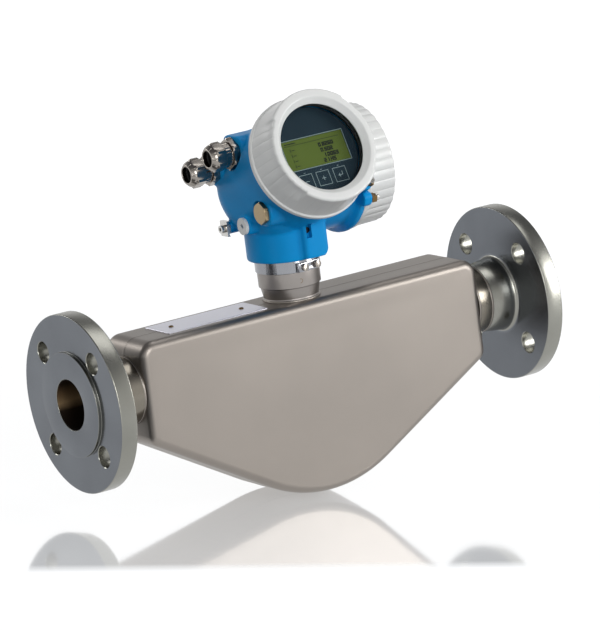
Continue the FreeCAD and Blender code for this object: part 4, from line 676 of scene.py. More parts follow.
def makeBoreSkin(name, place):
    # the scaled wall inside the flange's bore, with painted light and shade, as a thin sleeve that starts
    # behind the bore's edge
    look = boreLook
    outer, end = flangeLook["bore"] - look["gap"], flangeLook["hubEnd"] - look["short"]
    inner, start = outer - look["thick"], look["from"]
    profile = np.array([(inner, start), (inner, end), (outer, end), (outer, start), (inner, start)])
    item = makeObject(name, [latheBlock(profile, 128)], place)
    return finish(item, "sensor", "flange_steel", scaledBore)


def makeNozzleSkin(name, place):
    # the turned outside of the nozzle, between the flange's weld and the body's
    look = nozzleLook
    outer, inner = look["radius"] + look["skin"], look["radius"] - look["wall"]
    profile = np.array([(inner, look["weldAt"]), (outer, look["weldAt"]), (outer, look["shellAt"]),
                        (inner, look["shellAt"]), (inner, look["weldAt"])])
    item = makeObject(name, [latheBlock(profile, 192)], place)
    return finish(item, "sensor", "pipe_steel", nozzleTurned)


flangeWeld = (nozzleLook["radius"] + nozzleLook["weldRaise"], nozzleLook["weldAt"])
shellWeld = (nozzleLook["radius"], nozzleLook["shellAt"] - nozzleLook["weldBack"])
for label, place in (("inlet", inletFrame), ("outlet", outletFrame)):
    makeBoreSkin(label + "BoreSkin", place)
    makeNozzleSkin(label + "NozzleSkin", place)
    pipe = nodeCopy(label + "Nozzle", label + "_manifold", 0.25)
    finish(pipe, "sensor", "pipe_steel", nozzleTurned, label + "_manifold")
    makeBead(label + "FlangeWeld", place, *flangeWeld, beadLook)
    makeBead(label + "ShellWeld", place, *shellWeld, beadLook)
print("flanges and nozzles made")


# Sensor body

shellLook = {
    "half": 167, "depth": 31, "top": 42, "bottom": 121, "belly": 118, "slope": 30, "shoulder": 13,
    "flank": 11, "press": 7, "wall": 2, "collar": 26.05, "endCut": (5, 12), "neck": 12, "neckCut": (36, 50),
    "crown": 0.5, "crownAt": -35, "point": 6,
}


def shellOutline(look):
    # straight top and ends, and two slopes that meet in an arc of the belly's radius at the lowest point
    apex = -(look["bottom"] + look["belly"] * (1 / math.cos(math.radians(look["slope"])) - 1))
    flank = apex + look["half"] * math.tan(math.radians(look["slope"]))
    half, top = look["half"], look["top"]
    corners = [(-half, top, look["shoulder"]), (-half, flank, look["flank"]), (0, apex, look["belly"]),
               (half, flank, look["flank"]), (half, top, look["shoulder"])]
    line = roundedLine(corners, 24, True)
    return refine(line, look["point"])


def refine(line, step):
    # a closed line with extra points on its long runs, a step apart
    following = np.roll(line, -1, axis=0)
    pieces = []
    for here, after in zip(line, following):
        count = max(1, int(np.linalg.norm(after - here) / step))
        pieces.append(here + (after - here) * (np.arange(count) / count)[:, None])
    return np.vstack(pieces)


def outwards(line):
    # unit normals of a closed line that runs anticlockwise seen from -Y
    ahead, behind = np.roll(line, -1, axis=0) - line, line - np.roll(line, 1, axis=0)
    ahead /= np.linalg.norm(ahead, axis=1)[:, None]
    behind /= np.linalg.norm(behind, axis=1)[:, None]
    along = ahead + behind
    along /= np.linalg.norm(along, axis=1)[:, None]
    return np.stack([along[:, 1], -along[:, 0]], axis=1)


def shellSkin(look, line, normal, inset, side):
    # section from the weld plane over the pressed edge to the middle of the face: the outline moves inwards
    # by 1 - cos a of the press radius while the depth grows by sin a, then the face rises to a slight crown
    press = look["press"] - inset
    flat = look["depth"] - look["press"]
    angle = np.linspace(0, math.pi / 2, 13)
    offsets = np.concatenate([[0, 0, 0], press * (1 - np.cos(angle))]) + inset
    depths = np.concatenate([np.array([0, 0.34, 0.67]) * flat, flat + press * np.sin(angle)])
    rows = [np.column_stack([line - normal * offset, np.full(len(line), depth)])
            for offset, depth in zip(offsets, depths)]
    edge = rows[-1]
    centre = np.array([0, look["crownAt"]])
    for share in (0.12, 0.25, 0.4, 0.55, 0.7, 0.85, 1.0):
        inner = edge[:, :2] * (1 - share) + centre * share
        rise = look["crown"] * (1 - (1 - share) ** 2)
        rows.append(np.column_stack([inner, np.full(len(line), edge[0, 2] + rise - look["crown"])]))
    grid = np.array(rows)
    return np.stack([grid[..., 0], side * grid[..., 2], grid[..., 1]], axis=-1)


def makeShell(name, node, side):
    # half of the body: the skin, the same skin inside the wall, and the rim, opened for pipe and neck
    look = shellLook
    line = shellOutline(look)
    normal = outwards(line)
    skin = shellSkin(look, line, normal, 0.0, side)
    inside = shellSkin(look, line, normal, look["wall"], side)
    blocks = [gridBlock(skin), gridBlock(inside), gridBlock(np.array([skin[0], inside[0]]))]
    item = makeObject(name, blocks, neckFrame, 30)
    collar, neck, neckLow, neckHigh = look["collar"], look["neck"], *look["neckCut"]
    outside, within = -look["half"] - look["endCut"][0], -look["half"] + look["endCut"][1]
    bar = np.array([[0, outside], [collar, outside], [collar, within], [0, within]])
    tools = []
    for index, turn in enumerate((1, -1)):
        place = makeFrame((middle, 0, 0), (turn, 0, 0), (0, 0, -turn))
        tools.append(makeObject("endTool%d" % index, [latheBlock(bar, 96)], place))
    hole = np.array([[0, neckLow], [neck, neckLow], [neck, neckHigh], [0, neckHigh]])
    tools.append(makeObject("neckTool", [latheBlock(hole, 64)], neckFrame))
    cutAway(item, tools)
    smoothMesh(item.data, 30)
    return finish(item, "sensor", "shell_steel", pickledSheet, node)


makeShell("sensorShellFront", "sensor_shell_front", -1)
makeShell("sensorShellRear", "sensor_shell_rear", 1)

seamLook = {"width": 3.4, "rise": 0.22, "sunk": 0.06, "pitch": 1.6, "ripple": 0.25, "point": 0.6}


def makeSeam():
    # the weld that joins the half shells: a low flat bead that follows the outline, with fine ripples
    line = refine(shellOutline(shellLook), seamLook["point"])
    normal = outwards(line)
    along = np.concatenate([[0], np.cumsum(np.linalg.norm(np.diff(line, axis=0), axis=1))])
    ripple = 1 + seamLook["ripple"] * np.sin(along * 2 * math.pi / seamLook["pitch"])
    across = np.linspace(-1, 1, 9)
    lift = (1 - across ** 4)[:, None] * seamLook["rise"] * ripple[None, :] - seamLook["sunk"]
    plane = line[None] + normal[None] * lift[..., None]
    depth = across[:, None] * seamLook["width"] / 2 + 0 * ripple[None, :]
    points = np.stack([plane[..., 0], depth, plane[..., 1]], axis=-1)
    closed = np.concatenate([points, points[:1]])
    item = makeObject("bodySeam", [gridBlock(closed)], neckFrame, 60)
    return finish(item, "sensor", "shell_steel", weldBead)


makeSeam()
print("sensor body made")


# Nameplate and neck

plateLook = {"near": -36, "far": -133, "half": 19.5, "low": 42, "thick": 0.8, "corner": 1.5, "edge": 0.2}


def makeNameplate():
    # a thin sheet with rounded corners: the outline at two levels, and a small bevel at the top
    look = plateLook
    corners = [(look["far"], -look["half"], look["corner"]), (look["near"], -look["half"], look["corner"]),
               (look["near"], look["half"], look["corner"]), (look["far"], look["half"], look["corner"])]
    line = roundedLine(corners, 6, True)
    normal = outwards(line)
    centre = np.array([(look["near"] + look["far"]) / 2, 0])
    top = look["low"] + look["thick"]
    rows = [np.column_stack([0 * line + centre, np.full(len(line), look["low"])])]
    for inset, level in ((0, look["low"]), (0, top - look["edge"]), (look["edge"], top)):
        rows.append(np.column_stack([line - normal * inset, np.full(len(line), level)]))
    rows.append(np.column_stack([0 * line + centre, np.full(len(line), top)]))
    item = makeObject("blankNameplate", [gridBlock(np.array(rows))], neckFrame)
    return finish(item, "sensor", "plate_metal", barePlate, "nameplate")


makeNameplate()

rivetLook = {"radius": 2.2, "rise": 0.9, "bore": 0.8, "deep": 0.4}


def makeRivets():
    # blind rivets: a turned dome round the hollow left by the mandrel
    look = rivetLook
    top = plateLook["low"] + plateLook["thick"]
    crown, floor = top + look["rise"], top - look["deep"]
    profile = roundedLine([(0, floor), (look["bore"], floor), (look["bore"], crown, 0.25),
                           (look["radius"] * 0.75, crown, 0.4), (look["radius"], top, 0.1), (0, top)], 4)
    blocks = []
    low, high = nodeBox("nameplate_rivets")
    for x in (low[0] + look["radius"], high[0] - look["radius"]):
        points, quads = latheBlock(profile, 40)
        blocks.append((points + np.array([x - middle, 0, 0]), quads))
    item = makeObject("nameplateRivets", blocks, neckFrame)
    return finish(item, "sensor", "plate_metal", darkClaw, "nameplate_rivets")


makeRivets()

neckLook = {"foot": 23.3, "flare": 25.0, "band": 26.2, "low": 42, "bandLow": 54, "ringLow": 67.2,
            "spigot": 22, "top": 98, "bore": 12, "floor": 20.05, "seal": 90, "groove": 1.2}
neckBead = {"bead": 2.4, "rise": 0.9, "sunk": 0.05, "ripples": 56, "ripple": 0.12, "raise": 0.2, "above": 0.4}


def makeNeck():
    # turned profile from the weld foot over the cone and the band to the spigot with its seal groove
    look = neckLook
    foot, band, low, spigot = look["foot"], look["band"], look["low"], look["spigot"]
    grooveLow, grooveTop = look["seal"] - look["groove"], look["seal"] + look["groove"]
    profile = roundedLine([
        (look["bore"], low), (foot, low, 0.3), (foot + 0.2, low + 1.6, 0.5), (foot - 0.15, low + 2.4, 0.5),
        (look["flare"], look["bandLow"] - 0.6, 0.3), (band, look["bandLow"], 0.3),
        (band + 0.1, look["ringLow"] - 0.6, 0.3), (band - 0.4, look["ringLow"], 0.2),
        (spigot, look["ringLow"]), (spigot, grooveLow), (look["floor"], grooveLow),
        (look["floor"], grooveTop), (spigot, grooveTop),
        (spigot, look["top"], 1.0), (look["bore"], look["top"], 0.5), (look["bore"], low),
    ], 5)
    item = makeObject("neckTube", [latheBlock(profile, 160)], neckFrame)
    return finish(item, "sensor", "pipe_steel", neckTurned, "neck_tube")


makeNeck()
makeBead("neckWeld", neckFrame, neckLook["foot"] + neckBead["raise"], neckLook["low"] + neckBead["above"],
         neckBead)

markLook = {"angle": -101.0, "level": 59.5, "radius": 1.7, "open": 108, "line": 0.35, "rise": 0.06}


def makeNeckMark():
    # a stamped open arc on the neck's band: a ring's angle t bent round the cylinder, for its two edges
    look = markLook
    t = np.radians(np.linspace(-look["open"], look["open"], 40))
    radius = neckLook["band"] + look["rise"]
    rows = []
    for width in (-1, 1):
        reach = look["radius"] + width * look["line"] / 2
        turn = math.radians(look["angle"]) + reach * np.cos(t) / neckLook["band"]
        height = look["level"] + reach * np.sin(t)
        rows.append(np.stack([radius * np.cos(turn), radius * np.sin(turn), height], axis=-1))
    under = [row * np.array([0.99, 0.99, 1]) for row in rows]
    ring = np.array([rows[0], rows[1], under[1], under[0], rows[0]])
    item = makeObject("neckMark", [gridBlock(ring, False)], neckFrame)
    return finish(item, "sensor", "pipe_steel", darkClaw)


makeNeckMark()
ring = nodeCopy("bayonetRing", "bayonet_ring", 0.5)
finish(ring, "sensor", "bright_steel", ringTurned, "bayonet_ring")
screws = nodeCopy("bayonetScrews", "bayonet_screws", 0.35)
finish(screws, "sensor", "bright_steel", platedBrass, "bayonet_screws")
print("neck made")


# Transmitter housing: closed forms joined, remeshed into one skin and softened like a casting

housingLook = {
    "skin": 1.05, "soften": 7, "barrel": 46.5, "back": 38, "backRound": 24, "shoulder": 54,
    "shoulderThick": 3, "over": 3.5, "end": 48, "bowl": 39, "bowlRound": 30, "flange": 53.5,
    "flangeThick": 5, "flangeSlope": 3, "collar": 33, "collarLow": 77.5, "collarEdge": 0.8,
    "spigot": 45.5, "spigotFront": 66, "spigotEnd": 64, "mouth": 41, "mouthFloor": 34, "wiring": 41.5,
    "wiringFloor": 46, "open": 70, "bore": 22.3, "boreLow": 70, "boreTop": 102,
}


def barrelProfile(back, rounding, radius, flange, thick, slope, seat):
    # a barrel from its rounded back to a wider flange at the cover's seat
    return roundedLine([(0, -back), (radius, -back, rounding), (radius, seat - thick - slope, 2.0),
                        (flange, seat - thick, 0.8), (flange, seat, 0.4), (0, seat)], 10)


def movedBlock(block, place):
    # a block in its own frame, given in the neck's frame
    points, quads = block
    return (toShared(points, place) / mm - neckFrame[0]) @ neckFrame[1], quads


def prismBlock(corners, low, high, steps=8):
    # an upright prism over a rounded outline, closed with fans
    line = roundedLine(corners, steps, True)
    centre = line.mean(axis=0)
    rows = [np.column_stack([0 * line + centre, np.full(len(line), low)]),
            np.column_stack([line, np.full(len(line), low)]),
            np.column_stack([line, np.full(len(line), high)]),
            np.column_stack([0 * line + centre, np.full(len(line), high)])]
    return gridBlock(np.array(rows))


def padBlock(pad):
    # upright prism whose foot rises by 1 mm per mm over the last stretch to the right
    left, right, front, rounding = pad["left"], pad["right"], pad["front"], pad["round"]
    line = roundedLine([(left, front, rounding), (right, front, rounding), (right, 0, 0), (left, 0, 0)],
                       8, True)
    centre = line.mean(axis=0)
    foot = right - pad["corner"]
    flat = np.column_stack([np.minimum(line[:, 0], foot), line[:, 1]])
    rows = [np.column_stack([0 * line + centre, np.full(len(line), pad["low"])]),
            np.column_stack([flat, np.full(len(line), pad["low"])]),
            np.column_stack([line, pad["low"] + np.maximum(line[:, 0] - foot, 0)]),
            np.column_stack([line, np.full(len(line), pad["high"])]),
            np.column_stack([0 * line + centre, np.full(len(line), pad["high"])])]
    return gridBlock(np.array(rows))


glandPlaces = {"A": entryFrame(np.array(joints["gland_a_turn"]["pos_m"]) / mm),
               "B": entryFrame(np.array(joints["gland_b_turn"]["pos_m"]) / mm)}
headHeight = {"entry_plug": 4, "service_plug": 2.4, "earth_clamp": 3.4}
plugPlace, capPlace, earthPlace = (fittingFrame(node, height) for node, height in headHeight.items())
clampPlaces = {}
for label, base in (("front", displayFrame), ("terminal", wiringFrame)):
    spot = np.array(joints[label + "_clamp_turn"]["pos_m"]) / mm
    away = spot - base[0]
    away = away - base[1][:, 2] * (away @ base[1][:, 2])
    clampPlaces[label] = makeFrame(spot - away, base[1][:, 2], away / np.linalg.norm(away))

padLook = {"left": -4, "right": 20, "front": -38, "low": 78.3, "high": 112, "round": 4, "corner": 5,
           "slotLow": 96, "slotHigh": 109, "slotMiddle": 1.2, "slotWidth": 5, "slotDepth": 5,
           "slotRound": 1.2}
bossLook = {"aHalf": 14.5, "aRound": 8, "b": 14.5, "plug": 12, "cap": 8.2, "earth": 5.3, "depth": 30,
            "plugDepth": 25, "seatA": 14.4, "seatPlug": 10.8, "seatTool": 8,
            "lugRoot": 42, "lugReach": 62, "lugHalf": 6, "lugDeep": 8, "lugRound": 4.5}


def diskProfile(radius, low, high, rounding=0.6):
    # a round disc with its upper edge rounded
    return roundedLine([(0, low), (radius, low, min(rounding, 0.3)), (radius, high, rounding), (0, high)], 5)


def bossSquare(look):
    # rounded square of the first gland's boss
    half, rounding = look["aHalf"], look["aRound"]
    return [(-half, -half, rounding), (half, -half, rounding),
            (half, half, rounding), (-half, half, rounding)]


def lugOutline(look):
    # the lug that carries a clamp's screw, rounded at its outer end
    root, reach, half, rounding = look["lugRoot"], look["lugReach"], look["lugHalf"], look["lugRound"]
    return [(root, -half, 0), (reach, -half, rounding), (reach, half, rounding), (root, half, 0)]


def slotOutline(look):
    # the recess in the lock pad, seen from above, open to the front
    left, right = look["slotMiddle"] - look["slotWidth"] / 2, look["slotMiddle"] + look["slotWidth"] / 2
    outside, floor, rounding = look["front"] - 3, look["front"] + look["slotDepth"], look["slotRound"]
    return [(left, outside, 0), (right, outside, 0), (right, floor, rounding), (left, floor, rounding)]


def boreBlock(radius, low, high, segments):
    # the plain cylinder that a chamber is cut with
    return latheBlock(np.array([[0, low], [radius, low], [radius, high], [0, high]]), segments)


def makeHousing():
    # two barrels, the collar, the lock pad, the bosses and the lugs as one skin, with its hollows cut out
    look, pad, boss = housingLook, padLook, bossLook
    display = barrelProfile(look["back"], look["backRound"], look["barrel"], look["barrel"] + look["over"],
                            look["shoulderThick"], look["over"], look["shoulder"])
    wiring = barrelProfile(look["bowl"], look["bowlRound"], look["end"], look["flange"], look["flangeThick"],
                           look["flangeSlope"], look["shoulder"])
    collar = roundedLine([(0, look["collarLow"]), (look["collar"], look["collarLow"], look["collarEdge"]),
                          (look["collar"], headPoint[2]), (0, headPoint[2])], 5)
    blocks = [
        movedBlock(latheBlock(display, 180), displayFrame),
        movedBlock(latheBlock(wiring, 180), wiringFrame),
        latheBlock(collar, 160),
        padBlock(pad),
        movedBlock(prismBlock(bossSquare(boss), -look["bowl"], 0), glandPlaces["A"]),
        movedBlock(latheBlock(diskProfile(boss["b"], -boss["depth"], 0), 80), glandPlaces["B"]),
        movedBlock(latheBlock(diskProfile(boss["plug"], -boss["plugDepth"], 0), 80), plugPlace),
        movedBlock(latheBlock(diskProfile(boss["cap"], -boss["depth"], 0), 60), capPlace),
        movedBlock(latheBlock(diskProfile(boss["earth"], -boss["depth"], 0), 48), earthPlace),
    ]
    for place in clampPlaces.values():
        blocks.append(movedBlock(prismBlock(lugOutline(boss), -boss["lugDeep"], 0), place))
    item = makeObject("transmitterHousing", blocks, neckFrame)
    skin = item.modifiers.new("skin", "REMESH")
    skin.mode = "VOXEL"
    skin.voxel_size = look["skin"] * mm
    skin.adaptivity = 0.0
    soft = item.modifiers.new("soft", "SMOOTH")
    soft.factor = 0.5
    soft.iterations = look["soften"]
    applyModifiers(item)
    mouth = boreBlock(look["mouth"], look["mouthFloor"], look["open"], 128)
    chamber = boreBlock(look["wiring"], look["wiringFloor"], look["open"], 128)
    passage = boreBlock(look["bore"], look["boreLow"], look["boreTop"], 96)
    slot = prismBlock(slotOutline(pad), pad["slotLow"], pad["slotHigh"])
    glandSeat = latheBlock(diskProfile(boss["seatA"], 0, boss["seatTool"]), 80)
    plugSeat = latheBlock(diskProfile(boss["seatPlug"], 0, boss["seatTool"]), 80)
    tools = [
        makeObject("mouthTool", [mouth], displayFrame),
        makeObject("wiringTool", [chamber], wiringFrame),
        makeObject("neckTool", [passage], neckFrame),
        makeObject("slotTool", [slot], neckFrame),
        makeObject("seatTool", [glandSeat], glandPlaces["A"]),
        makeObject("plugTool", [plugSeat], plugPlace),
    ]
    cutAway(item, tools)
    smoothMesh(item.data, 40)
    return finish(item, "transmitter", "housing_paint", bluePaint, "transmitter_housing")


makeHousing()

spigotLook = {"root": 6, "groove": 0.8, "grooveEnd": 3.2, "grooveDeep": 1.95, "thread": 3.4, "pitch": 1.5,
              "threadDeep": 0.6, "chamfer": 0.8}


def makeSpigot(name, place, inner, top):
    # the spigot under a cover, with its seal groove and its thread as fine rings, a pitch apart
    look, radius, base = spigotLook, housingLook["spigot"], housingLook["shoulder"]
    count = int((top - base - look["thread"]) / look["pitch"])
    thread = []
    for index in range(count):
        level = base + look["thread"] + index * look["pitch"]
        thread += [(radius - look["threadDeep"], level), (radius, level + look["pitch"] / 2)]
    foot, floor = base - look["root"], radius - look["grooveDeep"]
    low, high = base + look["groove"], base + look["grooveEnd"]
    groove = [(radius, foot), (radius, low), (floor, low), (floor, high), (radius, high)]
    end = [(radius - look["chamfer"], top), (inner, top), (inner, foot)]
    profile = np.array([(inner, foot)] + groove + thread + end)
    item = makeObject(name, [latheBlock(profile, 160)], place)
    return finish(item, "transmitter", "housing_paint", bluePaint)


makeSpigot("displaySpigot", displayFrame, housingLook["mouth"], housingLook["spigotFront"])
makeSpigot("terminalSpigot", wiringFrame, housingLook["wiring"], housingLook["spigotEnd"])
print("housing made")


# Covers

coverLook = {
    "seat": 54.3, "rim": 52.4, "rimHeight": 4, "skirt": 51, "front": 49.2, "face": 90, "edge": 2.2,
    "bevel": 42, "window": 37.5, "glassFront": 83.8, "lip": 84.8, "seatRadius": 40.65, "seatBack": 76.8,
    "bore": 45.8, "boreEnd": 68.3, "flutes": 36, "fluteDepth": 0.45, "fluteEnd": 8, "grip": 1.6,
    "gripLow": 77.4, "gripRise": 3, "gripAngles": (94.5, 274.5), "gripHalf": 46.5, "gripSlope": 1.4,
    "curve": ((0.9, 70), (0.45, 76), (0.2, 82), (0, 86)),
}
glassLook = {"radius": 40.5, "back": 78.8, "front": 83.8, "edge": 0.4}


def between(value, low, high):
    # 0 below low, 1 above high, and a smooth step in between
    share = np.clip((value - low) / (high - low), 0, 1)
    return share * share * (3 - 2 * share)


def coverRadius(look):
    # the skirt's radius less scalloped flutes, and less the grip recesses between the two raised sectors
    def radiusOf(radius, height, angle):
        outside = (radius > look["bevel"] + 1) & (height > look["seat"] + look["rimHeight"] + 0.2)
        wave = np.abs(np.sin(angle * look["flutes"] / 2)) ** 0.6
        fade = between(height, look["seat"] + look["rimHeight"], look["face"] - look["fluteEnd"])
        flute = look["fluteDepth"] * (0.5 + 0.5 * fade) * (1 - wave)
        raised = 0
        for centre in look["gripAngles"]:
            apart = np.abs(np.mod(np.degrees(angle) - centre + 180, 360) - 180)
            near, far = look["gripHalf"] - look["gripSlope"], look["gripHalf"] + look["gripSlope"]
            raised = np.maximum(raised, 1 - between(apart, near, far))
        depth = between(height, look["gripLow"], look["gripLow"] + look["gripRise"])
        recess = look["grip"] * (1 - raised) * depth
        return np.where(outside, radius - flute * (1 - 0.6 * raised) - recess, radius)
    return radiusOf


def makeFrontCover():
    # turned ring: outside from the seat over the rim, the curved skirt and the bevel to the glass's seat
    look = coverLook
    bore, seat, front, face = look["bore"], look["seat"], look["front"], look["face"]
    rimTop, window = seat + look["rimHeight"], look["window"]
    outside = roundedLine([
        (bore, seat, 0.3), (look["rim"], seat, 0.7), (look["rim"], rimTop, 1.0),
        (look["skirt"], rimTop + 1, 0.6), *[(front + more, level) for more, level in look["curve"]],
        (front, face, look["edge"]), (look["bevel"], face, 2.0), (window, look["lip"], 0.5),
        (window, look["glassFront"], 0.2), (look["seatRadius"], look["glassFront"]),
        (look["seatRadius"], look["seatBack"]), (bore, look["boreEnd"]), (bore, seat, 0.3),
    ], 6)
    item = makeObject("frontCover", [latheBlock(outside, 720, coverRadius(look))], displayFrame, 28)
    return finish(item, "front_cover", "cover_paint", greyPaint, "front_cover")


def makeGlass():
    # a disc with ground edges
    look = glassLook
    profile = roundedLine([(0, look["back"]), (look["radius"], look["back"], look["edge"]),
                           (look["radius"], look["front"], look["edge"]), (0, look["front"])], 4)
    item = makeObject("windowGlass", [latheBlock(profile, 128)], displayFrame)
    return finish(item, "front_cover", "window", toughGlass, "window_glass")


makeFrontCover()
makeGlass()
clip = nodeCopy("windowRetainer", "window_retainer", 0.2)
finish(clip, "front_cover", "bare_aluminium", carrierMould, "window_retainer")

capLook = {
    "seat": 54.3, "rim": 52.5, "rimHeight": 4, "skirt": 51.5, "front": 50.8, "face": 85, "edge": 2.0,
    "bevel": 40, "recess": 1.6, "wall": 79.4, "cavity": 42, "bore": 45.8, "boreEnd": 68.3, "bossRadius": 16,
    "bossRise": 0.8, "flutes": 36, "fluteDepth": 0.75, "fluteRise": 3,
    "curve": ((0.1, 62), (0.3, 68), (0.5, 75)),
}


def capRadius(look):
    # the skirt's radius less scalloped flutes, which fade in above the rim
    def radiusOf(radius, height, angle):
        outside = (radius > look["bevel"] + 3) & (height > look["seat"] + look["rimHeight"] + 0.2)
        wave = np.abs(np.sin(angle * look["flutes"] / 2)) ** 0.7
        rimTop = look["seat"] + look["rimHeight"]
        fade = between(height, rimTop, rimTop + look["fluteRise"])
        return np.where(outside, radius - look["fluteDepth"] * fade * (1 - wave), radius)
    return radiusOf


def makeTerminalCover():
    # turned cap: outside from the seat over rim, skirt and edge to the sunken end and its boss
    look = capLook
    bore, seat, skirt, face = look["bore"], look["seat"], look["skirt"], look["face"]
    rimTop, floor = seat + look["rimHeight"], face - look["recess"]
    boss, crown = look["bossRadius"], floor + look["bossRise"]
    outside = roundedLine([
        (bore, seat, 0.3), (look["rim"], seat, 0.7), (look["rim"], rimTop, 0.8), (skirt, rimTop + 1, 0.5),
        *[(skirt - less, level) for less, level in look["curve"]],
        (look["front"], face - 3), (look["front"], face, look["edge"]), (look["bevel"], face, 0.6),
        (look["bevel"] - look["recess"], floor, 0.6),
        (boss + 1, floor, 0.6), (boss, crown, 0.5), (0, crown),
    ], 6)
    inside = np.array([(0, look["wall"]), (look["cavity"], look["wall"]), (look["cavity"], look["boreEnd"]),
                       (bore, look["boreEnd"]), (bore, seat + 0.3)])
    blocks = [latheBlock(outside, 720, capRadius(look)), latheBlock(inside, 720)]
    item = makeObject("terminalCover", blocks, wiringFrame, 28)
    return finish(item, "terminal_cover", "cover_paint", greyPaint, "terminal_cover")


makeTerminalCover()
print("covers made")


# Display

panelLook = {"radius": 39, "front": 73, "back": 70.6, "edge": 0.4, "left": -29.15, "right": 30.15,
             "low": -12.15, "high": 13.45, "lip": 0.2}


def makePanel():
    # a disc with a rectangular opening: rays from the opening's rim to the disc's rim
    look = panelLook
    share = np.arange(24) / 24
    width, height = look["right"] - look["left"], look["high"] - look["low"]
    line = np.concatenate([
        np.column_stack([look["left"] + width * share, 0 * share + look["low"]]),
        np.column_stack([0 * share + look["right"], look["low"] + height * share]),
        np.column_stack([look["right"] - width * share, 0 * share + look["high"]]),
        np.column_stack([0 * share + look["left"], look["high"] - height * share])])
    angle = np.arctan2(line[:, 1], line[:, 0])
    circle = np.column_stack([np.cos(angle), np.sin(angle)])
    rows = [np.column_stack([line, np.full(len(line), look["back"])]),
            np.column_stack([line, np.full(len(line), look["front"] - look["lip"])]),
            np.column_stack([line * 1.006, np.full(len(line), look["front"])])]
    for blend in (0.5, 1.0):
        ring = line * (1 - blend) + circle * (look["radius"] - look["edge"]) * blend
        rows.append(np.column_stack([ring, np.full(len(line), look["front"])]))
    rows.append(np.column_stack([circle * look["radius"], np.full(len(line), look["front"] - look["edge"])]))
    rows.append(np.column_stack([circle * look["radius"], np.full(len(line), look["back"])]))
    rows.append(rows[0])
    item = makeObject("displayPanel", [gridBlock(np.array(rows))], displayFrame)
    return finish(item, "display", "display_black", panelFilm, "display_panel")


makePanel()
carrier = nodeCopy("displayCarrier", "display_carrier", 0.5)
finish(carrier, "display", "display_black", carrierMould, "display_carrier")
screen = nodeCopy("displayScreen", "display_screen", 0.1)
finish(screen, "display", "screen_green", screenFilm, "display_screen")


def barBlock(x0, y0, x1, y1, width, level, rise=0.05):
    # a flat bar from one point to another, longer by half its width at both ends
    start, end = np.array([x0, y0], float), np.array([x1, y1], float)
    along = (end - start) / np.linalg.norm(end - start)
    side = np.array([-along[1], along[0]]) * width / 2
    start, end = start - along * width / 2, end + along * width / 2
    line = np.array([start - side, end - side, end + side, start + side])
    centre = line.mean(axis=0)
    rows = [np.column_stack([0 * line + centre, np.full(4, level - rise)]),
            np.column_stack([line, np.full(4, level - rise)]),
            np.column_stack([line, np.full(4, level + rise)]),
            np.column_stack([0 * line + centre, np.full(4, level + rise)])]
    return gridBlock(np.array(rows))


# seven bars of a digit, as ends in units of its width and height
digitBars = {"a": (0, 1, 1, 1), "b": (1, 0.5, 1, 1), "c": (1, 0, 1, 0.5), "d": (0, 0, 1, 0),
             "e": (0, 0, 0, 0.5), "f": (0, 0.5, 0, 1), "g": (0, 0.5, 1, 0.5)}
digitShapes = {"0": "abcdef", "1": "bc", "2": "abged", "3": "abgcd", "4": "fgbc", "5": "afgcd",
               "6": "afgedc", "7": "abc", "8": "abcdefg", "9": "abcdfg"}
readout = {
    "rows": (("0.8260", 19.8, 3.7), ("0.502", 17.6, -1.0), ("1.0063", 21.5, -5.7), ("21.45", 17.4, -10.2)),
    "wide": 1.6, "tall": 2.6, "step": 2.8, "line": 0.95, "level": 72.78,
    "point": (0.35, 0.2), "pointStep": 0.9, "rule": (-27, 25.5, 9.3), "ruleLine": 0.4,
    "mark": -22.6, "dash": (-21.0, -18.6), "markLine": 0.6,
    "header": (-26.2, -24.0, -21.8, -19.6, -17.4), "headerAt": 11.0, "headerWide": 1.2, "headerLine": 0.9,
}


def makeReadout():
    # right-aligned numbers, each digit from its bars, a rule under the header and short marks on the left
    look = readout
    level, wide, tall = look["level"], look["wide"], look["tall"]
    blocks = []
    for text, right, low in look["rows"]:
        x = right
        for letter in reversed(text):
            if letter == ".":
                start, end = look["point"]
                blocks.append(barBlock(x - start, low, x - end, low, look["line"], level))
                x -= look["pointStep"]
                continue
            x -= look["step"]
            for bar in digitShapes[letter]:
                x0, y0, x1, y1 = digitBars[bar]
                blocks.append(barBlock(x + x0 * wide, low + y0 * tall, x + x1 * wide, low + y1 * tall,
                                       look["line"], level))
    left, right, height = look["rule"]
    blocks.append(barBlock(left, height, right, height, look["ruleLine"], level))
    mark, line = look["mark"], look["markLine"]
    start, end = look["dash"]
    for _, _, low in look["rows"]:
        blocks.append(barBlock(mark, low + 0.3, mark, low + tall, line, level))
        blocks.append(barBlock(start, low + 1.4, end, low + 1.4, line, level))
    for x in look["header"]:
        blocks.append(barBlock(x, look["headerAt"], x + look["headerWide"], look["headerAt"],
                               look["headerLine"], level))
    item = makeObject("screenReadout", blocks, displayFrame)
    return finish(item, "display", "display_black", darkInk)


makeReadout()

keyLook = {"side": 12.0, "line": 0.38, "centres": (-17.5, -1.3, 15.0), "row": -23.2, "level": 73.02,
           "sign": 1.6, "signLine": 0.494, "tick": 0.6, "frame": (-29.6, -12.6, 30.6, 13.9),
           "frameLine": 0.42}


def boxBars(x0, y0, x1, y1, line, level):
    # four bars round a rectangle
    corners = [(x0, y0), (x1, y0), (x1, y1), (x0, y1)]
    return [barBlock(*here, *after, line, level) for here, after in zip(corners, corners[1:] + corners[:1])]


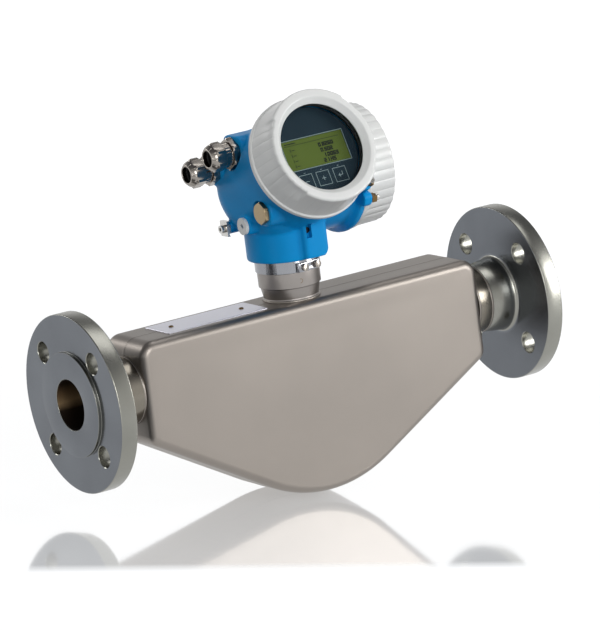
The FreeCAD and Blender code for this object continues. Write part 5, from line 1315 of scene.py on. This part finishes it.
def makePrint():
    # the printed frame round the screen and three key outlines with minus, plus and enter signs
    look = keyLook
    line, level, y, sign, tick = look["line"], look["level"], look["row"], look["sign"], look["tick"]
    half = look["side"] / 2
    blocks = boxBars(*look["frame"], look["frameLine"], level)
    for x in look["centres"]:
        blocks += boxBars(x - half, y - half, x + half, y + half, line, level)
        blocks.append(barBlock(x - tick, y + half + sign, x + tick, y + half + sign, line, level))
    minus, plus, enter = look["centres"]
    outer, inner, foot = enter + 1.8, enter - 2.0, y - 0.6
    signs = ((minus - sign, y, minus + sign, y),
             (plus - sign, y, plus + sign, y), (plus, y - sign, plus, y + sign),
             (outer, y + 2.2, outer, foot), (outer, foot, inner, foot),
             (inner, foot, inner + 1.2, foot + 1.2), (inner, foot, inner + 1.2, foot - 1.2))
    for ends in signs:
        blocks.append(barBlock(*ends, look["signLine"], level))
    item = makeObject("panelPrint", blocks, displayFrame)
    return finish(item, "display", "display_black", whitePrint)


makePrint()
print("display made")


# Cable glands and the fittings on the left end

glandLook = {
    "flats": 24, "hex": 6, "neck": 9, "bore": 6.5, "thread": 10, "threadLong": 10, "neckTop": 16.1,
    "foot": 6.5, "skirt": 10.6, "skirtTop": 12.5, "nutFlats": 22, "nutTop": 21.5, "domeTop": 25.5,
    "mouth": 6.8, "play": 0.3, "ribs": 24, "rib": 0.35, "scallops": 12, "scallop": 0.3, "washer": 0.6,
}


def hexCorner(flats):
    # distance from the axis to a hexagon's corner
    return flats / 2 / math.cos(math.pi / 6)


def makeGlandBody(label):
    # turned profile from the thread over the hexagon to the neck, cut to six flats where it is wider
    look = glandLook
    corner, hexTop = hexCorner(look["flats"]), look["hex"]
    bore, thread, neck, shoulder = look["bore"], look["thread"] - 0.5, look["neck"], look["neck"] + 0.9
    profile = roundedLine([
        (bore, -look["threadLong"]), (thread, -look["threadLong"], 0.3), (thread, 0), (corner - 1.1, 0),
        (corner, 0.7), (corner, hexTop - 0.9), (corner - 1.5, hexTop, 0.2), (shoulder, hexTop, 0.2),
        (shoulder, hexTop + 0.4), (neck, hexTop + 0.4), (neck, look["neckTop"], 0.3),
        (bore, look["neckTop"], 0.2), (bore, -look["threadLong"]),
    ], 4)
    block = latheBlock(profile, 192, hexRadius(look["flats"]))
    item = makeObject("gland%sBody" % label, [block], glandPlaces[label])
    return finish(item, "transmitter", "nickel_brass", platedBrass, "gland_%s_body" % label.lower())


def makeGlandNut(label):
    # skirt, hexagon with turned corners and a domed end with fine grip ribs
    look = glandLook
    corner = hexCorner(look["nutFlats"])
    inner, mouth, skirt = look["neck"] + look["play"], look["mouth"], look["skirt"]
    foot, skirtTop, nutTop, domeTop = look["foot"], look["skirtTop"], look["nutTop"], look["domeTop"]
    profile = roundedLine([
        (inner, foot, 0.2), (skirt, foot, 0.5), (skirt, skirtTop - 0.6), (corner - 1.0, skirtTop, 0.2),
        (corner, skirtTop + 0.8), (corner, nutTop - 1.0), (skirt + 0.3, nutTop + 0.2, 0.4),
        (skirt - 0.2, nutTop + 1.6, 0.8), (mouth + 1.4, domeTop, 1.0), (mouth, domeTop, 0.4),
        (mouth, domeTop - 1.6), (inner, nutTop), (inner, foot, 0.2),
    ], 5)
    hexagon = hexRadius(look["nutFlats"])

    def radiusOf(radius, height, angle):
        # ribs round the skirt, flats on the hexagon and shallow scallops round the dome
        ribbed = (height > foot + 0.4) & (height < skirtTop - 0.5) & (radius > skirt - 0.4)
        groove = look["rib"] * (0.5 - 0.5 * np.cos(angle * look["ribs"]))
        domed = (height > nutTop + 0.6) & (radius > mouth + 0.6)
        scallop = look["scallop"] * (np.abs(np.sin(angle * look["scallops"] / 2)) < 0.25)
        plain = hexagon(radius, height, angle)
        return np.where(ribbed, radius - groove, np.where(domed, radius - scallop, plain))

    item = makeObject("gland%sNut" % label, [latheBlock(profile, 288, radiusOf)], glandPlaces[label])
    node = "gland_%s_nut" % label.lower()
    return finish(item, node, "nickel_brass", platedBrass, node)


def makeGlandInsert(label):
    # the rubber insert in the nut, and a thin ring seal under the body's hexagon
    look = glandLook
    bore, wide, low, high = look["bore"], look["neck"] - look["play"], look["neckTop"], look["nutTop"] - 0.5
    insert = roundedLine([(bore, low), (wide, low), (wide, high, 0.6), (bore, high, 0.6), (bore, low)], 4)
    inner, outer, base, top = look["thread"] + 0.2, look["flats"] / 2 - 0.4, 0.02, look["washer"]
    washer = roundedLine([(inner, base), (outer, base), (outer, top, 0.2), (inner, top), (inner, base)], 3)
    item = makeObject("gland%sInsert" % label, [latheBlock(insert, 96), latheBlock(washer, 96)],
                      glandPlaces[label])
    return finish(item, "transmitter", "seal_rubber", blackRubber, "gland_%s_seal" % label.lower())


for label in ("A", "B"):
    makeGlandBody(label)
    makeGlandNut(label)
    makeGlandInsert(label)

plugLook = {"flats": 17, "head": 4, "shank": 7, "depth": 10}


def makePlug():
    # shank and chamfered hexagon head, turned and cut to six flats where it is wider
    look = plugLook
    corner, shank, depth, head = hexCorner(look["flats"]), look["shank"], look["depth"], look["head"]
    profile = roundedLine([
        (0, -depth), (shank, -depth, 0.4), (shank, 0), (corner - 0.9, 0), (corner, 0.5),
        (corner, head - 0.7), (corner - 1.2, head, 0.2), (0, head)], 4)
    item = makeObject("entryPlug", [latheBlock(profile, 192, hexRadius(look["flats"]))], plugPlace)
    return finish(item, "transmitter", "bronze", bareBronze, "entry_plug")


makePlug()
copies = (
    ("servicePlug", "service_plug", "transmitter", "bright_steel", greyPaint, 0.3),
    ("earthClamp", "earth_clamp", "transmitter", "bright_steel", bareSteel, 0.3),
    ("earthScrew", "earth_screw", "transmitter", "bright_steel", bareSteel, 0.3),
    ("housingLockScrew", "housing_lock_screw", "transmitter", "bright_steel", blackScrew, 0.2),
    ("frontClampClaw", "front_clamp_claw", "front_clamp", "claw_dark", darkClaw, 0.4),
    ("frontClampScrew", "front_clamp_screw", "front_clamp", "bright_steel", bareSteel, 0.25),
    ("terminalClampClaw", "terminal_clamp_claw", "terminal_clamp", "claw_dark", darkClaw, 0.4),
    ("terminalClampScrew", "terminal_clamp_screw", "terminal_clamp", "bright_steel", bareSteel, 0.25),
    ("frontCoverSeal", "front_cover_seal", "transmitter", "seal_rubber", blackRubber, 0),
    ("terminalCoverSeal", "terminal_cover_seal", "transmitter", "seal_rubber", blackRubber, 0),
    ("neckSeal", "neck_seal", "sensor", "seal_rubber", blackRubber, 0),
    ("measuringTubeFront", "measuring_tube_front", "sensor", "tube_steel", nozzleTurned, 0),
    ("measuringTubeRear", "measuring_tube_rear", "sensor", "tube_steel", nozzleTurned, 0),
)
for name, node, body, slot, material, bevel in copies:
    finish(nodeCopy(name, node, bevel), body, slot, material, node)

# nodes that stay as they are, inside the closed housing and body
inside = {
    bareSteel: ("inlet_brace", "outlet_brace", "temperature_probe", "drive_coil", "inlet_pickoff_coil",
                "outlet_pickoff_coil", "drive_magnet", "inlet_pickoff_magnet", "outlet_pickoff_magnet",
                "board_posts", "terminal_screws", "mounting_plate"),
    sealedCeramic: ("neck_feedthrough",),
    greenBoard: ("power_board", "amplifier_board", "output_board"),
    greenTerminal: ("terminal_block",),
}
for material, names in inside.items():
    for name in names:
        nodes[name].data.materials.clear()
        nodes[name].data.materials.append(material)
print("fittings made")


# Floor, light and camera

def seenDirectly(tree):
    # 1 for what the camera, a reflection or a window shows, 0 for the light that falls on matt surfaces
    path = addNode(tree, "LightPath").outputs
    either = addNode(tree, "Math", {0: path["Is Camera Ray"], 1: path["Is Glossy Ray"]}, operation="MAXIMUM")
    shown = {0: either.outputs[0], 1: path["Is Transmission Ray"]}
    return addNode(tree, "Math", shown, operation="MAXIMUM").outputs[0]


lightLook = {
    # name: place and aim in metres from the middle of the pipe, size across and up in metres, watts
    "keyStrip": ((0.92, -0.92, 0.27), (0, 0, 0.05), 0.35, 0.6, 7.2),
    "frontBox": ((-0.4, -2.2, 0.75), (0, 0, 0.1), 1.0, 0.7, 22.0),
    "topBox": ((0.8, -0.1, 2.0), (0, 0, 0), 1.2, 0.8, 7.5),
    "leftBox": ((-1.7, -0.7, 0.12), (0, 0, 0), 0.3, 0.3, 2.6),
    "backBox": ((-0.8, 1.5, 1.0), (0, 0, 0), 0.5, 0.3, 4.0),
}


def makeLights():
    # flat lamps that look from their place to their aim and don't show themselves
    for name, (place, aim, across, up, watts) in lightLook.items():
        lamp = bpy.data.lights.new(name, "AREA")
        lamp.shape = "RECTANGLE"
        lamp.size, lamp.size_y, lamp.energy = across, up, watts
        item = bpy.data.objects.new(name, lamp)
        bpy.context.scene.collection.objects.link(item)
        base = Vector((middle * mm, 0, 0))
        item.location = base + Vector(place)
        item.rotation_euler = (Vector(aim) - Vector(place)).to_track_quat("-Z", "Y").to_euler()
        item.visible_camera = False


makeLights()

skyLook = {"white": "#ffffff", "ceiling": "#6f7074", "bandTop": 0.28, "ceilingFrom": 0.7, "light": 0.32}


def makeWorld():
    # a white backdrop all round under a grey ceiling; matt surfaces get an even, weaker light
    world = bpy.data.worlds.new("studio")
    bpy.context.scene.world = world
    world.use_nodes = True
    tree = world.node_tree
    tree.nodes.clear()
    direction = addNode(tree, "TexCoord").outputs["Generated"]
    height = addNode(tree, "SeparateXYZ", {"Vector": direction}).outputs["Z"]
    ramp = addNode(tree, "ValToRGB", {"Fac": height})
    first, last = ramp.color_ramp.elements
    first.position, first.color = skyLook["bandTop"], tone(skyLook["white"])
    last.position, last.color = skyLook["ceilingFrom"], tone(skyLook["ceiling"])
    lit = addNode(tree, "Background", {"Color": tone(skyLook["white"]), "Strength": skyLook["light"]})
    backdrop = addNode(tree, "Background", {"Color": ramp.outputs["Color"], "Strength": 1.0})
    mix = addNode(tree, "MixShader", {0: seenDirectly(tree), 1: lit.outputs[0], 2: backdrop.outputs[0]})
    addNode(tree, "OutputWorld", {"Surface": mix.outputs[0]})


makeWorld()

cameraLook = {"azimuth": -31.6084, "elevation": 12.3485, "roll": -7.0981, "distance": 4452.51,
              "target": (5.8865, 0, 24.4007), "focal": 5335.29, "longSide": 631, "sensor": 36.0}


def cameraAxes(roll):
    # unit vectors back to the camera, across the picture and down it: the level ones turned by the roll
    a, e, r = math.radians(cameraLook["azimuth"]), math.radians(cameraLook["elevation"]), math.radians(roll)
    back = np.array([math.sin(a) * math.cos(e), -math.cos(a) * math.cos(e), math.sin(e)])
    right = np.cross(-back, (0, 0, 1))
    right /= np.linalg.norm(right)
    down = np.cross(-back, right)
    return back, right * math.cos(r) - down * math.sin(r), right * math.sin(r) + down * math.cos(r)


def makeCamera():
    # looks at the target from azimuth and elevation, turned about its own axis by the roll
    look = cameraLook
    back, x, y = cameraAxes(look["roll"])
    place = np.array(look["target"]) + np.array([middle, 0, 0]) + back * look["distance"]
    data = bpy.data.cameras.new("photoCamera")
    data.sensor_width = look["sensor"]
    data.lens = look["focal"] / look["longSide"] * look["sensor"]
    camera = bpy.data.objects.new("photoCamera", data)
    bpy.context.scene.collection.objects.link(camera)
    turned = np.eye(4)
    turned[:3, 0], turned[:3, 1], turned[:3, 2] = x, -y, back
    turned[:3, 3] = place * mm
    camera.matrix_world = Matrix(turned.tolist())
    bpy.context.scene.camera = camera


makeCamera()

floorLook = {
    "size": 6.0, "lean": -9.6, "colour": "#8a8d91", "glow": 0.85, "mist": 500, "rough": 0.07,
    "roughChange": 0.2, "mirror": 0.79, "facing": (0.62, 0.78), "near": 0.4, "far": 0.6,
    "frontFade": (0.238, 0.262),
}


def makeFloor():
    # a white sheet, polished under the meter, that touches the belly and leans about the line of sight, as
    # the meter leans over its reflection in the photo. The mirror's share grows with 1 - cos of the angle to
    # the normal, times shares that fall from 1 to 0 with the distance from the meter and towards the camera
    body, half = shellLook, floorLook["size"]
    back, _, down = cameraAxes(floorLook["lean"])
    tilt = math.radians(cameraLook["elevation"])
    normal = back * math.sin(tilt) - down * math.cos(tilt)
    ahead = back - normal * np.dot(back, normal)
    ahead /= np.linalg.norm(ahead)
    side = np.cross(normal, ahead)
    # how far the body reaches from the belly's centre against the normal
    edge = body["press"]
    reach = (body["belly"] - edge) * math.hypot(normal[0], normal[2])
    reach += (body["depth"] - edge) * abs(normal[1]) + edge
    centre = (np.array([middle, 0, body["belly"] - body["bottom"]]) - normal * reach) * mm
    corners = [centre + half * (ahead * u + side * v) for u, v in ((1, -1), (1, 1), (-1, 1), (-1, -1))]
    mesh = bpy.data.meshes.new("studioFloor")
    mesh.from_pydata([tuple(corner) for corner in corners], [], [(0, 1, 2, 3)])
    floor = bpy.data.objects.new("studioFloor", mesh)
    bpy.context.scene.collection.objects.link(floor)
    # white acrylic sheet, polished: white where it is matt, and a soft mirror under the meter
    material, tree = newMaterial("paleStudioFloor")
    mist = addNode(tree, "TexNoise", {"Vector": objectPlace(tree), "Scale": perMetre(floorLook["mist"]),
                                      "Detail": 2.0})
    least, most = 1 - floorLook["roughChange"], 1 + floorLook["roughChange"]
    rough = rangeOf(tree, mist.outputs["Fac"], floorLook["rough"] * least, floorLook["rough"] * most)
    matt = addNode(tree, "BsdfDiffuse", {"Color": tone(floorLook["colour"])})
    place = objectPlace(tree, tuple(centre))
    apart = addNode(tree, "VectorMath", {0: place}, operation="LENGTH").outputs["Value"]
    # whiter far from the meter, so that no horizon shows
    paler = rangeOf(tree, apart, floorLook["glow"], 1.0, floorLook["far"], floorLook["far"] * 3)
    strength = addNode(tree, "Math", {0: seenDirectly(tree), 1: paler}, operation="MULTIPLY")
    glow = addNode(tree, "Emission", {"Color": tone("#ffffff"), "Strength": strength.outputs[0]})
    pale = addNode(tree, "AddShader", {0: matt.outputs[0], 1: glow.outputs[0]})
    gloss = addNode(tree, "BsdfGlossy", {"Color": tone("#ffffff"), "Roughness": rough})
    face = addNode(tree, "LayerWeight", {"Blend": 0.5})
    facing = rangeOf(tree, face.outputs["Facing"], 0.0, floorLook["mirror"], *floorLook["facing"])
    close = rangeOf(tree, apart, 1.0, 0.0, floorLook["near"], floorLook["far"])
    # the direction in the sheet towards the camera, square to the one that is level in the picture
    level = np.cross(normal, cameraAxes(cameraLook["roll"])[2])
    nearer = np.cross(level, normal) / np.linalg.norm(level)
    nearer *= np.sign(np.dot(nearer, back))
    forward = addNode(tree, "VectorMath", {0: place, 1: tuple(nearer)}, operation="DOT_PRODUCT")
    behind = rangeOf(tree, forward.outputs["Value"], 1.0, 0.0, *floorLook["frontFade"])
    shown = addNode(tree, "Math", {0: close, 1: behind}, operation="MULTIPLY")
    share = addNode(tree, "Math", {0: facing, 1: shown.outputs[0]}, operation="MULTIPLY")
    mix = addNode(tree, "MixShader", {0: share.outputs[0], 1: pale.outputs[0], 2: gloss.outputs[0]})
    closeMaterial(tree, mix)
    floor.data.materials.append(material)


makeFloor()
bpy.context.scene.view_settings.view_transform = "Standard"
